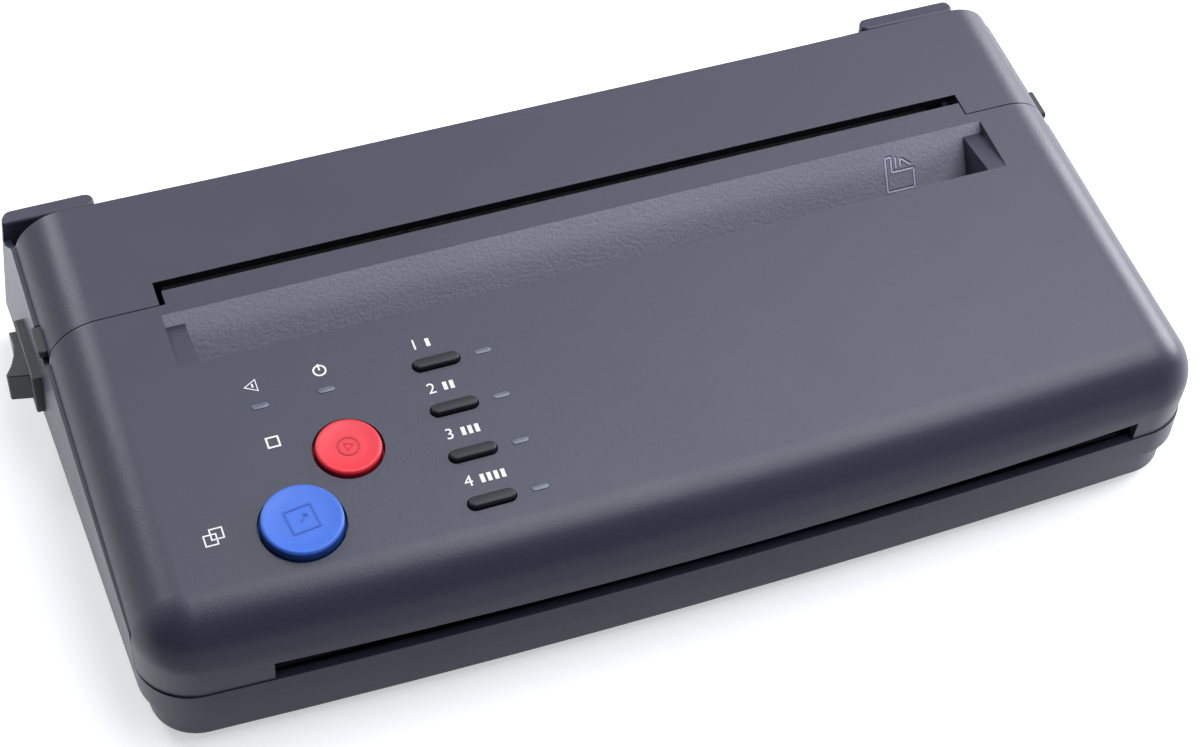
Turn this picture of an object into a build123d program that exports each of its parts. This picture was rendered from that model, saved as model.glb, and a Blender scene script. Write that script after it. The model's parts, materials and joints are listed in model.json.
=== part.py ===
from build123d import *
import math
import os

os.makedirs("parts", exist_ok=True)

# Frame: +Z up, Z = 0 is the table, X = 0 is the middle of the width,
# Y = 0 is the middle of the depth, the front of the machine is -Y.
# The top surface leans forward, so covers are drawn in a leaned frame
# (x, v, w): v runs back along the top surface and w is the height over it,
# both starting at the joint between the front cover and the rear lid.

# ---- driving sizes (mm) ----
TILT = 4.5              # lean of the top surface, degrees
SEAM_Y = 22.0           # where the two covers meet, in depth
SEAM_Z = 51.0           # height of the top surface at that joint
WALL = 2.2              # moulded wall thickness
GAP = 0.4               # joint gap between shells
COVER_HALF = 136.0      # half width of the covers
COVER_FRONT = -98.2     # v of the foremost point of the covers
LID_REAR = 36.6         # v of the back of the lid at its ends
LID_DISH = 1.3          # how far the back of the lid curves in
EDGE_ROUND = 13.5       # rounding of the top edges
CORNER_ROUND = 14.5     # rounding of the corners seen from above
FRONT_BOW = 2777.0      # radius of the bowed front
SIDE_SEAM = -10.3       # w of the joint between covers and base
EAR_V = -81.0           # v where the cover steps down at the front corners
FRONT_SEAM = 21.0       # height of the joint along the front

FOOT_H = 2.5            # how far the feet stand out
FLOOR_Z = FOOT_H        # underside of the base shell
BASE_WALL = 2.4         # wall of the base
BAND_Z = 13.0           # lower edge of the upper band of the base
BAND_INSET = 2.0        # how far the lower band stands in
BASE_REAR = 74.5        # rear face of the base
FRONT_MID = -74.45      # foremost face of the base
HALF_FRONT = COVER_HALF - 0.5  # half width of the base low down at the front
HALF_REAR = COVER_HALF + 3.8   # half width of the base low down at the rear
RIM_Z = 37.0            # top of the rear wall between the blocks
DECK_Z = 34.0           # top of the rear deck
BLOCK_Z = 42.2          # top of the two rear blocks
BLOCK_Y = 69.8          # front face of the rear blocks
LEFT_BLOCK_IN = -COVER_HALF + 23.1   # inner end of the left block
RIGHT_BLOCK_IN = COVER_HALF - 32.4   # inner end of the right block
RIGHT_BLOCK_OUT = COVER_HALF - 4.5   # outer end of the right block

SLOT_X = 1.8            # middle of the stencil slot
SLOT_HALF = 109.0       # half length of the stencil slot
SLOT_V0 = 4.2           # front edge of the stencil slot
SLOT_V1 = 7.3           # rear edge of the stencil slot
FEED_X = 2.8            # middle of the document recess
FEED_HALF = 110.4       # half length of the document recess
FEED_V0 = -19.7         # front edge of the recess
FEED_V1 = -3.2          # rear edge of the recess
FEED_SLOPE = 57.0       # slope of the recess floor
GUIDE_W = 5.2           # width of the ledge at each end of the recess
EXIT_X = 5.4            # middle of the front slot
EXIT_HALF = 111.6       # half length of the front slot
EXIT_END_H = 6.5        # height of the front slot at its ends
EXIT_MID_H = 4.5        # height of the front slot in the middle

PATH_X = 2.3            # middle of the rollers and chassis
PATH_HALF = 112.5       # inner face of each side plate from the middle
PLATE_T = 1.5           # side plate thickness
SHAFT_R = 2.5           # roller shaft radius
SHAFT_FIT = 0.05        # running clearance of the shafts
ROLL_GAP = 0.35         # space a sheet runs through between rollers
PAPER_Z = 23.5          # height the original runs at

PLATEN_AT = (42.0, 29.5)
PLATEN_R = 8.5
FEED_AT = (-2.0, 15.5)
FEED_R = PAPER_Z - FEED_AT[1]
SCAN_AT = (-28.0, 17.5)
SCAN_R = PAPER_Z - SCAN_AT[1]
EXIT_AT = (-58.0, 17.5)
EXIT_R = PAPER_Z - EXIT_AT[1]
PINCH_R = 4.0
PINCH_SHAFT_R = 1.5
MOTOR_AT = (21.0, 19.5)
MOTOR_R = 14.0

MODULE = 1.0            # gear tooth size
GEAR_X0 = 118.2         # inner face of the gears
GEAR_T = 5.0            # gear width
TEETH_MOTOR = 10
TEETH_IDLER_A = 12      # motor to stencil platen
TEETH_PLATEN = 16
TEETH_IDLER_B = 12      # motor to feed roller
TEETH_FEED = 16
TEETH_IDLER_C = 14      # feed roller to scan roller
TEETH_SCAN = 12
TEETH_IDLER_D = 20      # scan roller to exit roller
TEETH_EXIT = 12

FRONT_AXIS = (-74.8, 20.9)  # the front cover turns about this line
ARM_R0 = 19.0           # inner radius of the curved hinge arms
ARM_R1 = 22.0           # outer radius of the curved hinge arms
ARM_X = COVER_HALF - 9.0  # inner face of the hinge arms
ARM_T = 3.0             # thickness of the hinge arms
ARM_LOW = 45.0          # how far round below the axis the arms reach, degrees
ARM_FIT = 0.5           # room round the arms in their tracks
LID_AXIS = (66.0, 40.5)
LID_PIN_R = 2.0
LID_EAR_X = COVER_HALF - 18.6
LID_EAR_T = 3.2

KEY_X = -48.4
KEY_V = -36.5
KEY_PITCH = 14.0
KEY_L = 11.5
KEY_W = 3.3
KEY_UP = 1.2
KEY_CLEAR = 0.35
LED_X = -36.6
STOP_AT = (-75.9, -54.6)
STOP_R = 8.1
STOP_UP = 1.3
START_AT = (-92.1, -71.8)
START_R = 9.9
START_UP = 2.5
BUTTON_CLEAR = 0.55
BUTTON_TRAVEL = 1.0
LED_SPOTS = [
    (LED_X, KEY_V),
    (LED_X, KEY_V - KEY_PITCH),
    (LED_X, KEY_V - 2 * KEY_PITCH),
    (LED_X, KEY_V - 3 * KEY_PITCH),
    (-75.9, KEY_V),
    (-92.2, KEY_V),
]
BOARD_W = -8.0          # upper face of the panel board

SWITCH_Y = 39.4         # middle of the rocker switch
SWITCH_Z = 21.5
SWITCH_L = 21.0         # length of the switch bezel
SWITCH_H = 12.6         # height of the switch bezel
SWITCH_SEAT = -COVER_HALF - 1.1  # flat the bezel sits on
SWITCH_SHIFT = 2.8      # the rocker sticks out on the left, so the machine is moved right by half of that
ROCKER_L = 17.0         # length of the rocker
LEVER_V0 = -1.6         # front end of the release lever slot
LEVER_V1 = 11.0         # rear end of the release lever slot
LEVER_W = -11.0         # middle of the lever slot
LEVER_H = 3.2           # height of the lever slot
LEVER_CLEAR = 0.35      # room round the lever in its slot
LEVER_TRAVEL = 2.6
LEVER_OUT = 1.6         # how far the lever stands out of the wall
INLET_X = 84.0          # middle of the power inlet
INLET_Z = 18.5

COS = math.cos(math.radians(TILT))
SIN = math.sin(math.radians(TILT))
LEAN = Location((0, SEAM_Y, SEAM_Z), (TILT, 0, 0))


def at(v, w):
    """Height and depth of a point given in the leaned frame."""
    return (SEAM_Y + v * COS - w * SIN, SEAM_Z + v * SIN + w * COS)


def block(x0, x1, y0, y1, z0, z1):
    """A box given by its two corners."""
    return Pos((x0 + x1) / 2, (y0 + y1) / 2, (z0 + z1) / 2) * Box(x1 - x0, y1 - y0, z1 - z0)


def rod_x(x0, x1, spot, radius):
    """A round bar along X at (y, z)."""
    return Pos((x0 + x1) / 2, spot[0], spot[1]) * Rot(0, 90, 0) * Cylinder(radius, x1 - x0)


def rod_y(y0, y1, x, z, radius):
    """A round bar along Y."""
    return Pos(x, (y0 + y1) / 2, z) * Rot(90, 0, 0) * Cylinder(radius, y1 - y0)


def rod_z(z0, z1, x, y, radius):
    """A round bar along Z."""
    return Pos(x, y, (z0 + z1) / 2) * Cylinder(radius, z1 - z0)


def slab_x(points, x0, x1):
    """A flat outline in (y, z) drawn out from x0 to x1."""
    face = make_face(Polyline([(0, p[0], p[1]) for p in points], close=True))
    return Pos(x0, 0, 0) * extrude(face, amount=x1 - x0, dir=(1, 0, 0))


def pill(length, width, z0, z1):
    """An upright bar with a long round-ended outline along X."""
    shape = extrude(SlotOverall(length, width), amount=z1 - z0)
    return Pos(0, 0, z0) * shape


def outline(half_front, half_rear, mid, rear, front_round, rear_round):
    """Plan outline of the base: bowed front, sides that may spread to the rear."""
    side_y = mid + half_front ** 2 / (2 * FRONT_BOW)
    right_rear = (half_rear, rear)
    right_front = (half_front, side_y)
    left_front = (-half_front, side_y)
    left_rear = (-half_rear, rear)
    lines = [
        Line(right_rear, right_front),
        ThreePointArc(right_front, (0, mid), left_front),
        Line(left_front, left_rear),
        Line(left_rear, right_rear),
    ]
    face = make_face(lines)
    front = [p for p in face.vertices() if p.Y < 0]
    face = fillet(front, front_round)
    back = [p for p in face.vertices() if abs(p.Y - rear) < 0.01]
    return fillet(back, rear_round)


def column(low, high, z_low, z_high):
    """A solid that runs from one outline to another."""
    return loft([Pos(0, 0, z_low) * low, Pos(0, 0, z_high) * high])


def cover_body(inset, depth):
    """Body of the two covers before they are parted, in the leaned frame."""
    half = COVER_HALF - inset
    mid = COVER_FRONT + inset
    rear = LID_REAR - inset
    side_v = mid + half ** 2 / (2 * FRONT_BOW)
    lines = [
        Line((half, rear), (half, side_v)),
        ThreePointArc((half, side_v), (0, mid), (-half, side_v)),
        Line((-half, side_v), (-half, rear)),
        ThreePointArc((-half, rear), (0, rear - LID_DISH), (half, rear)),
    ]
    face = make_face(lines)
    front = [p for p in face.vertices() if p.Y < 0]
    face = fillet(front, CORNER_ROUND - inset)
    body = Pos(0, 0, -depth) * extrude(face, amount=depth - inset)
    top = [e for e in body.edges() if e.center().Z > -inset - 0.01 and e.center().Y < rear - 2]
    return fillet(top, EDGE_ROUND - inset)


def wedge(spot, low, reach, x0, x1):
    """A slice of space from the angle below the line of Y round to straight up."""
    angle = math.radians(-low)
    points = [
        (spot[0], spot[1]),
        (spot[0] + reach * math.cos(angle), spot[1] + reach * math.sin(angle)),
        (spot[0] + reach * 1.4, spot[1]),
        (spot[0] + reach, spot[1] + reach),
        (spot[0], spot[1] + reach),
    ]
    return slab_x(points, x0, x1)


def gear(teeth, spot, phase, bore):
    """A spur gear across X with one tooth pointing at the phase angle."""
    pitch_r = MODULE * teeth / 2
    tip_r = pitch_r + 0.85 * MODULE
    root_r = pitch_r - 1.2 * MODULE
    step = 2 * math.pi / teeth
    points = []
    for n in range(teeth):
        middle = phase + n * step
        for radius, turn in (
            (root_r, -0.33),
            (pitch_r, -0.22),
            (tip_r, -0.11),
            (tip_r, 0.11),
            (pitch_r, 0.22),
            (root_r, 0.33),
        ):
            angle = middle + turn * step
            points.append((spot[0] + radius * math.cos(angle), spot[1] + radius * math.sin(angle)))
    body = slab_x(points, GEAR_X0, GEAR_X0 + GEAR_T)
    return body - rod_x(GEAR_X0 - 1, GEAR_X0 + GEAR_T + 1, spot, bore)


def mesh_phase(first, second):
    """Turn the second gear so its teeth sit in the gaps of the first."""
    dy = second["at"][0] - first["at"][0]
    dz = second["at"][1] - first["at"][1]
    line = math.atan2(dz, dy)
    share = (line - first["phase"]) * first["teeth"] / (2 * math.pi)
    return line + math.pi - (0.5 - share) * 2 * math.pi / second["teeth"]


def between(first, second, teeth, side):
    """Centre of an idler that meshes with two gears, on the given side."""
    reach_a = MODULE * (first["teeth"] + teeth) / 2
    reach_b = MODULE * (second["teeth"] + teeth) / 2
    dy = second["at"][0] - first["at"][0]
    dz = second["at"][1] - first["at"][1]
    span = math.hypot(dy, dz)
    along = (reach_a ** 2 - reach_b ** 2 + span ** 2) / (2 * span)
    rise = side * math.sqrt(reach_a ** 2 - along ** 2)
    uy = dy / span
    uz = dz / span
    return (first["at"][0] + along * uy - rise * uz, first["at"][1] + along * uz + rise * uy)


def coil(radius, wire, length, turns):
    """A coil spring standing on Z = 0."""
    path = Helix(pitch=(length - wire) / turns, height=length - wire, radius=radius)
    start = Plane(origin=path @ 0, z_dir=path % 0)
    body = sweep(start * Circle(wire / 2), path=path)
    return Pos(0, 0, wire / 2) * body


def screw(length, radius, head_r, head_h):
    """A pan head screw pointing down with its head under face at Z = 0."""
    body = rod_z(-length, 0, 0, 0, radius) + rod_z(0, head_h, 0, 0, head_r)
    cut = block(-head_r * 0.6, head_r * 0.6, -0.35, 0.35, head_h * 0.5, head_h + 1)
    cross = block(-0.35, 0.35, -head_r * 0.6, head_r * 0.6, head_h * 0.5, head_h + 1)
    return body - cut - cross


def save(name, shape):
    """Write one piece, moved so that the origin is under the middle of the whole machine."""
    solids = [Pos(SWITCH_SHIFT, 0, 0) * solid for solid in shape.solids()]
    whole = solids[0]
    if len(solids) > 1:
        whole = Compound(children=solids)
    export_step(whole, "parts/" + name + ".step")


# ---- gear train ----
motor = {"at": MOTOR_AT, "teeth": TEETH_MOTOR, "phase": 0.1}
platen = {"at": PLATEN_AT, "teeth": TEETH_PLATEN}
feed = {"at": FEED_AT, "teeth": TEETH_FEED}
scan = {"at": SCAN_AT, "teeth": TEETH_SCAN}
leave = {"at": EXIT_AT, "teeth": TEETH_EXIT}
idler_a = {"at": between(motor, platen, TEETH_IDLER_A, -1), "teeth": TEETH_IDLER_A}
idler_b = {"at": between(motor, feed, TEETH_IDLER_B, -1), "teeth": TEETH_IDLER_B}
idler_c = {"at": between(feed, scan, TEETH_IDLER_C, -1), "teeth": TEETH_IDLER_C}
idler_d = {"at": between(scan, leave, TEETH_IDLER_D, -1), "teeth": TEETH_IDLER_D}
for first, second in (
    (motor, idler_a),
    (idler_a, platen),
    (motor, idler_b),
    (idler_b, feed),
    (feed, idler_c),
    (idler_c, scan),
    (scan, idler_d),
    (idler_d, leave),
):
    second["phase"] = mesh_phase(first, second)

save("platen_gear", gear(TEETH_PLATEN, PLATEN_AT, platen["phase"], SHAFT_R))
save("feed_gear", gear(TEETH_FEED, FEED_AT, feed["phase"], SHAFT_R))
save("scan_gear", gear(TEETH_SCAN, SCAN_AT, scan["phase"], SHAFT_R))
save("exit_gear", gear(TEETH_EXIT, EXIT_AT, leave["phase"], SHAFT_R))
STUD_R = 2.0
for name, wheel in (("a", idler_a), ("b", idler_b), ("c", idler_c), ("d", idler_d)):
    body = gear(wheel["teeth"], wheel["at"], wheel["phase"], STUD_R + SHAFT_FIT)
    save("idler_gear_" + name, body)

# ---- rollers ----
LEFT_PLATE = PATH_X - PATH_HALF
RIGHT_PLATE = PATH_X + PATH_HALF
SHAFT_X0 = LEFT_PLATE - PLATE_T - 3.5
SHAFT_X1 = GEAR_X0 + GEAR_T + 1.0
ROLL_X0 = LEFT_PLATE + 3.0
ROLL_X1 = RIGHT_PLATE - 3.0
TYRE_W = 20.0
TYRE_SPOTS = [PATH_X - 78, PATH_X - 26, PATH_X + 26, PATH_X + 78]

for name, spot in (("platen", PLATEN_AT), ("feed", FEED_AT), ("scan", SCAN_AT), ("exit", EXIT_AT)):
    shaft = rod_x(SHAFT_X0, SHAFT_X1, spot, SHAFT_R)
    save(name + "_shaft", shaft)

sleeve = rod_x(ROLL_X0, ROLL_X1, PLATEN_AT, PLATEN_R)
save("platen_rubber", sleeve - rod_x(ROLL_X0 - 1, ROLL_X1 + 1, PLATEN_AT, SHAFT_R))
sleeve = rod_x(ROLL_X0, ROLL_X1, SCAN_AT, SCAN_R)
save("scan_backing_roller", sleeve - rod_x(ROLL_X0 - 1, ROLL_X1 + 1, SCAN_AT, SHAFT_R))
for name, spot, radius in (("feed_tyres", FEED_AT, FEED_R), ("exit_tyres", EXIT_AT, EXIT_R)):
    tyres = []
    for x in TYRE_SPOTS:
        tyre = rod_x(x - TYRE_W / 2, x + TYRE_W / 2, spot, radius)
        tyre = tyre - rod_x(x - TYRE_W, x + TYRE_W, spot, SHAFT_R)
        tyres.append(tyre)
    save(name, Compound(children=tyres))

PINCH_AT = (EXIT_AT[0], EXIT_AT[1] + EXIT_R + PINCH_R + ROLL_GAP)
CHEEK_X0 = PATH_X - 111.3
CHEEK_X1 = PATH_X + 109.3
CHEEK_T = 2.0
save("pinch_shaft", rod_x(CHEEK_X0 - 0.6, CHEEK_X1 + CHEEK_T + 0.6, PINCH_AT, PINCH_SHAFT_R))
tyres = []
for x in TYRE_SPOTS:
    tyre = rod_x(x - 6, x + 6, PINCH_AT, PINCH_R)
    tyres.append(tyre - rod_x(x - 8, x + 8, PINCH_AT, PINCH_SHAFT_R))
save("pinch_tyres", Compound(children=tyres))

# ---- chassis side plates, bushings and studs ----
FLOOR_TOP = FLOOR_Z + BASE_WALL
BUSH_R = 4.0
plate_points = [
    (-66, FLOOR_TOP),
    (54, FLOOR_TOP),
    (54, 36.5),
    (31, 36.5),
    (25, 26.5),
    (-66, 26.5),
]
for name, x0 in (("left", LEFT_PLATE - PLATE_T), ("right", RIGHT_PLATE)):
    plate = slab_x(plate_points, x0, x0 + PLATE_T)
    for spot in (PLATEN_AT, FEED_AT, SCAN_AT, EXIT_AT):
        plate = plate - rod_x(x0 - 1, x0 + PLATE_T + 1, spot, BUSH_R)
    side = -1 if name == "left" else 1
    fold_x0 = x0 - 9 if name == "left" else x0 + PLATE_T
    for y0, y1 in ((-50, -34), (-20, -8), (8, 24)):
        plate = plate + block(fold_x0, fold_x0 + 9, y0, y1, FLOOR_TOP, FLOOR_TOP + PLATE_T)
        hole = rod_z(0, 12, fold_x0 + 4.5, (y0 + y1) / 2, 1.7)
        plate = plate - hole
    if name == "right":
        plate = plate - rod_x(x0 - 1, x0 + PLATE_T + 1, MOTOR_AT, 5.0)
    save("side_plate_" + name, plate)

bushes = []
for spot in (PLATEN_AT, FEED_AT, SCAN_AT, EXIT_AT):
    for x0, flange in ((LEFT_PLATE - PLATE_T, -1), (RIGHT_PLATE, 1)):
        bush = rod_x(x0 - 0.6, x0 + PLATE_T + 0.6, spot, BUSH_R)
        if flange < 0:
            bush = bush + rod_x(x0 - 1.4, x0, spot, BUSH_R + 1.2)
        else:
            bush = bush + rod_x(x0 + PLATE_T, x0 + PLATE_T + 1.4, spot, BUSH_R + 1.2)
        bush = bush - rod_x(x0 - 5, x0 + 8, spot, SHAFT_R + SHAFT_FIT)
        bushes.append(bush)
save("shaft_bushings", Compound(children=bushes))

studs = []
for wheel in (idler_a, idler_b, idler_c, idler_d):
    stud = rod_x(RIGHT_PLATE + PLATE_T, GEAR_X0 + GEAR_T + 0.5, wheel["at"], STUD_R)
    stud = stud + rod_x(RIGHT_PLATE + PLATE_T, GEAR_X0 - 0.5, wheel["at"], STUD_R + 1.2)
    stud = stud + rod_x(GEAR_X0 + GEAR_T + 0.5, GEAR_X0 + GEAR_T + 1.3, wheel["at"], STUD_R + 1.2)
    studs.append(stud)
save("idler_studs", Compound(children=studs))

# ---- motor ----
can = rod_x(RIGHT_PLATE - 20, RIGHT_PLATE - 1.5, MOTOR_AT, MOTOR_R)
can = fillet([e for e in can.edges() if e.center().X < RIGHT_PLATE - 19], 1.5)
flange = rod_x(RIGHT_PLATE - 1.5, RIGHT_PLATE, MOTOR_AT, MOTOR_R)
ear = block(RIGHT_PLATE - 1.5, RIGHT_PLATE, MOTOR_AT[0] - 4, MOTOR_AT[0] + 4, 5.2, 34)
flange = flange + ear
boss = rod_x(RIGHT_PLATE, RIGHT_PLATE + PLATE_T + 0.5, MOTOR_AT, 4.6)
plug = block(RIGHT_PLATE - 17, RIGHT_PLATE - 7, MOTOR_AT[0] - 7, MOTOR_AT[0] + 7, 33, 35)
body = can + flange + boss + plug
body = body - rod_x(RIGHT_PLATE - 15, RIGHT_PLATE + 5, MOTOR_AT, 1.5 + SHAFT_FIT)
save("stepper_motor", body)
rotor = rod_x(RIGHT_PLATE - 14, GEAR_X0 + GEAR_T + 0.8, MOTOR_AT, 1.5)
rotor = rotor + gear(TEETH_MOTOR, MOTOR_AT, motor["phase"], 1.4)
save("motor_rotor", rotor)

# ---- base tub ----
low = outline(HALF_FRONT, HALF_REAR, FRONT_MID, BASE_REAR, 14, 4)
high = outline(COVER_HALF, COVER_HALF + 0.6, FRONT_MID, BASE_REAR, 14, 4)
foot = outline(HALF_FRONT - BAND_INSET, HALF_REAR - BAND_INSET, FRONT_MID + BAND_INSET, BASE_REAR - 0.6, 12, 3.5)
upper = column(low, high, BAND_Z, 45.0)
lower = Pos(0, 0, FLOOR_Z) * extrude(foot, amount=BAND_Z - FLOOR_Z)
lower = fillet([e for e in lower.edges() if e.center().Z < FLOOR_Z + 0.01], 1.4)
cove = column(foot, low, BAND_Z - 1.6, BAND_Z)
in_low = outline(
    HALF_FRONT - BASE_WALL, HALF_REAR - BASE_WALL, FRONT_MID + BASE_WALL, BASE_REAR - BASE_WALL, 11.6, 1.6
)
in_high = outline(
    COVER_HALF - BASE_WALL, COVER_HALF + 0.6 - BASE_WALL, FRONT_MID + BASE_WALL, BASE_REAR - BASE_WALL, 11.6, 1.6
)
in_foot = outline(
    HALF_FRONT - BAND_INSET - BASE_WALL,
    HALF_REAR - BAND_INSET - BASE_WALL,
    FRONT_MID + BAND_INSET + BASE_WALL,
    BASE_REAR - 0.6 - BASE_WALL,
    9.6,
    1.2,
)
hull = upper + lower + cove
tub = hull
tub = tub - column(in_low, in_high, BAND_Z + 2.0, 50.0)
tub = tub - Pos(0, 0, FLOOR_TOP) * extrude(in_foot, amount=BAND_Z + 2.5 - FLOOR_TOP)

# Rear deck that the stencil sheet slides over, with the blocks at its ends.
deck = block(-COVER_HALF + 1, COVER_HALF - 1, 59.5, BASE_REAR - 1.5, DECK_Z - 2.0, DECK_Z)
tub = tub + (deck & column(low, high, BAND_Z, 45.0))

# Everything above the joint with the covers is taken away.
ear_y = at(EAR_V, 0)[0]
over = block(-200, 200, EAR_V - 6, 80, SIDE_SEAM - GAP / 2, 60)
tub = tub - (LEAN * over & block(-200, 200, ear_y, at(LID_REAR, SIDE_SEAM)[0] + GAP, -50, 100))
tub = tub - block(-200, 200, -200, ear_y, FRONT_SEAM - GAP / 2, 100)
lid_back = at(LID_REAR, SIDE_SEAM)
slope = [
    (lid_back[0] + GAP - 0.01, lid_back[1] - 0.4),
    (68.0, RIM_Z - 0.6),
    (BLOCK_Y, RIM_Z - 0.6),
    (BLOCK_Y, BLOCK_Z),
    (90, BLOCK_Z),
    (90, 70),
    (lid_back[0] + GAP - 0.01, 70),
]
tub = tub - slab_x(slope, -200, 200)
FAR = COVER_HALF + 64.0
tub = tub - block(-FAR, FAR, BLOCK_Y - 0.01, 90, RIM_Z, 70)
tub = tub - block(RIGHT_BLOCK_OUT - 4, FAR, 68, 90, DECK_Z, 70)

# The blocks stand on the rim, each as a cap of its own.
left_end = block(-FAR, LEFT_BLOCK_IN, BLOCK_Y, BASE_REAR, DECK_Z - 2, BLOCK_Z)
left_end = fillet([e for e in left_end.edges().filter_by(Axis.Z) if e.center().X > -COVER_HALF], 2.2)
right_end = block(RIGHT_BLOCK_IN, RIGHT_BLOCK_OUT, BLOCK_Y, BASE_REAR, DECK_Z - 2, BLOCK_Z)
right_end = fillet(right_end.edges().filter_by(Axis.Z), 2.2)
caps = []
for end in (left_end, right_end):
    end = fillet([e for e in end.edges() if e.center().Z > BLOCK_Z - 0.01], 0.9)
    end = end & column(low, high, BAND_Z, 45.0)
    tub = tub + (end & block(-FAR, FAR, 0, 100, 0, RIM_Z))
    caps.append(end & block(-FAR, FAR, 0, 100, RIM_Z, 60))
save("rear_block_caps", Compound(children=caps))

# Lid hinge posts stand on the deck.
for side in (-1, 1):
    for inner in (LID_EAR_X - 3.4, LID_EAR_X + LID_EAR_T + 0.4):
        x0 = side * inner if side > 0 else side * inner - 3.0
        post = block(x0, x0 + 3.0, LID_AXIS[0] - 3.5, LID_AXIS[0] + 3.5, DECK_Z - 1, LID_AXIS[1])
        post = post + rod_x(x0, x0 + 3.0, LID_AXIS, 3.5)
        post = post - rod_x(x0 - 1, x0 + 4.0, LID_AXIS, LID_PIN_R)
        tub = tub + post
        tub = tub - rod_x(x0 - 0.5, x0 + 3.5, LID_AXIS, LID_PIN_R)

# Curved tracks for the hinge arms of the front cover.
for side in (-1, 1):
    x0 = side * ARM_X if side > 0 else side * ARM_X - ARM_T
    guide = block(x0 - 1.6, x0 + ARM_T + 1.6, -64.5, -49.5, FLOOR_TOP - 0.5, FRONT_SEAM - 1.2)
    guide = guide & hull
    track = rod_x(x0 - ARM_FIT, x0 + ARM_T + ARM_FIT, FRONT_AXIS, ARM_R1 + ARM_FIT)
    track = track - rod_x(x0 - 1, x0 + ARM_T + 1, FRONT_AXIS, ARM_R0 - ARM_FIT)
    track = track & wedge(FRONT_AXIS, ARM_LOW + 1.5, 40, x0 - 1, x0 + ARM_T + 1)
    tub = tub + guide
    tub = tub - track

# Shelves inside the side walls carry the latch sliders.
for side in (-1, 1):
    shelf = block(COVER_HALF - 7.5, COVER_HALF, -17, 16, -20.5, -18.5)
    if side < 0:
        shelf = mirror(shelf, about=Plane.YZ)
    tub = tub + (LEAN * shelf & hull)

lever_mid = (LEVER_V0 + LEVER_V1) / 2
lever_hole = Plane.YZ * SlotOverall(LEVER_V1 - LEVER_V0, LEVER_H)
lever_hole = extrude(lever_hole, amount=10)
lever_right = LEAN * (Pos(COVER_HALF - 4.0, lever_mid, LEVER_W) * lever_hole)
lever_left = LEAN * (Pos(-COVER_HALF - 6.0, lever_mid, LEVER_W) * lever_hole)
tub = tub - lever_right - lever_left

# Switch opening, power inlet opening and vents.
hole_l = SWITCH_L / 2 - 0.6
tub = tub - block(-FAR, SWITCH_SEAT + 12.1, SWITCH_Y - hole_l, SWITCH_Y + hole_l, SWITCH_Z - 5.7, SWITCH_Z + 5.7)
bezel_l = SWITCH_L / 2 + 0.15
bezel_h = SWITCH_H / 2 + 0.15
tub = tub - block(-FAR, SWITCH_SEAT, SWITCH_Y - bezel_l, SWITCH_Y + bezel_l, SWITCH_Z - bezel_h, SWITCH_Z + bezel_h)
tub = tub - block(INLET_X - 12, INLET_X + 12, 60, 80, INLET_Z - 8, INLET_Z + 8)
for n in range(9):
    x = -70 + n * 10
    tub = tub - block(x, x + 5, 60, 80, 14, 26)
for n in range(8):
    x = -88 + n * 12
    tub = tub - block(x, x + 6, 50, 66, 0, 8)

# Screw posts and foot seats.
FEET = [(-100, -52), (100, -52), (-103, 60), (103, 60)]
for x, y in FEET:
    tub = tub + rod_z(FLOOR_Z + 1, FLOOR_TOP + 3, x, y, 5.0)
    tub = tub - rod_z(FLOOR_Z - 1, FLOOR_Z + 1.2, x, y, 8.0)
    tub = tub - rod_z(FLOOR_Z - 1, FLOOR_TOP + 2, x, y, 1.6)
for y in (-42, -14, 16):
    for x in (LEFT_PLATE - PLATE_T - 4.5, RIGHT_PLATE + PLATE_T + 4.5):
        tub = tub - rod_z(FLOOR_Z - 1, FLOOR_TOP + 1, x, y, 1.3)
BOARD_POSTS = [(-84, 11), (44, 11), (-84, 30), (44, 30)]
for x, y in BOARD_POSTS:
    tub = tub + rod_z(FLOOR_TOP - 0.5, 9.0, x, y, 2.6)
POWER_POSTS = [(-92, 54), (20, 54), (-92, 69), (20, 69)]
for x, y in POWER_POSTS:
    tub = tub + rod_z(FLOOR_TOP - 0.5, 9.0, x, y, 2.2)
save("base_tub", tub)

feet = []
for x, y in FEET:
    foot_pad = rod_z(0, FOOT_H + 1.2, x, y, 7.9)
    foot_pad = fillet([e for e in foot_pad.edges() if e.center().Z < 0.01], 1.0)
    feet.append(foot_pad - rod_z(-1, 1.8, x, y, 3.4) - rod_z(-1, 5, x, y, 1.7))
save("rubber_feet", Compound(children=feet))

screws = []
for x, y in FEET:
    screws.append(Pos(x, y, 1.8) * Rot(180, 0, 0) * screw(5.0, 1.5, 3.0, 1.4))
for y in (-42, -14, 16):
    for x in (LEFT_PLATE - PLATE_T - 4.5, RIGHT_PLATE + PLATE_T + 4.5):
        screws.append(Pos(x, y, FLOOR_TOP + PLATE_T) * screw(3.5, 1.25, 2.6, 1.3))
save("base_screws", Compound(children=screws))

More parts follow.
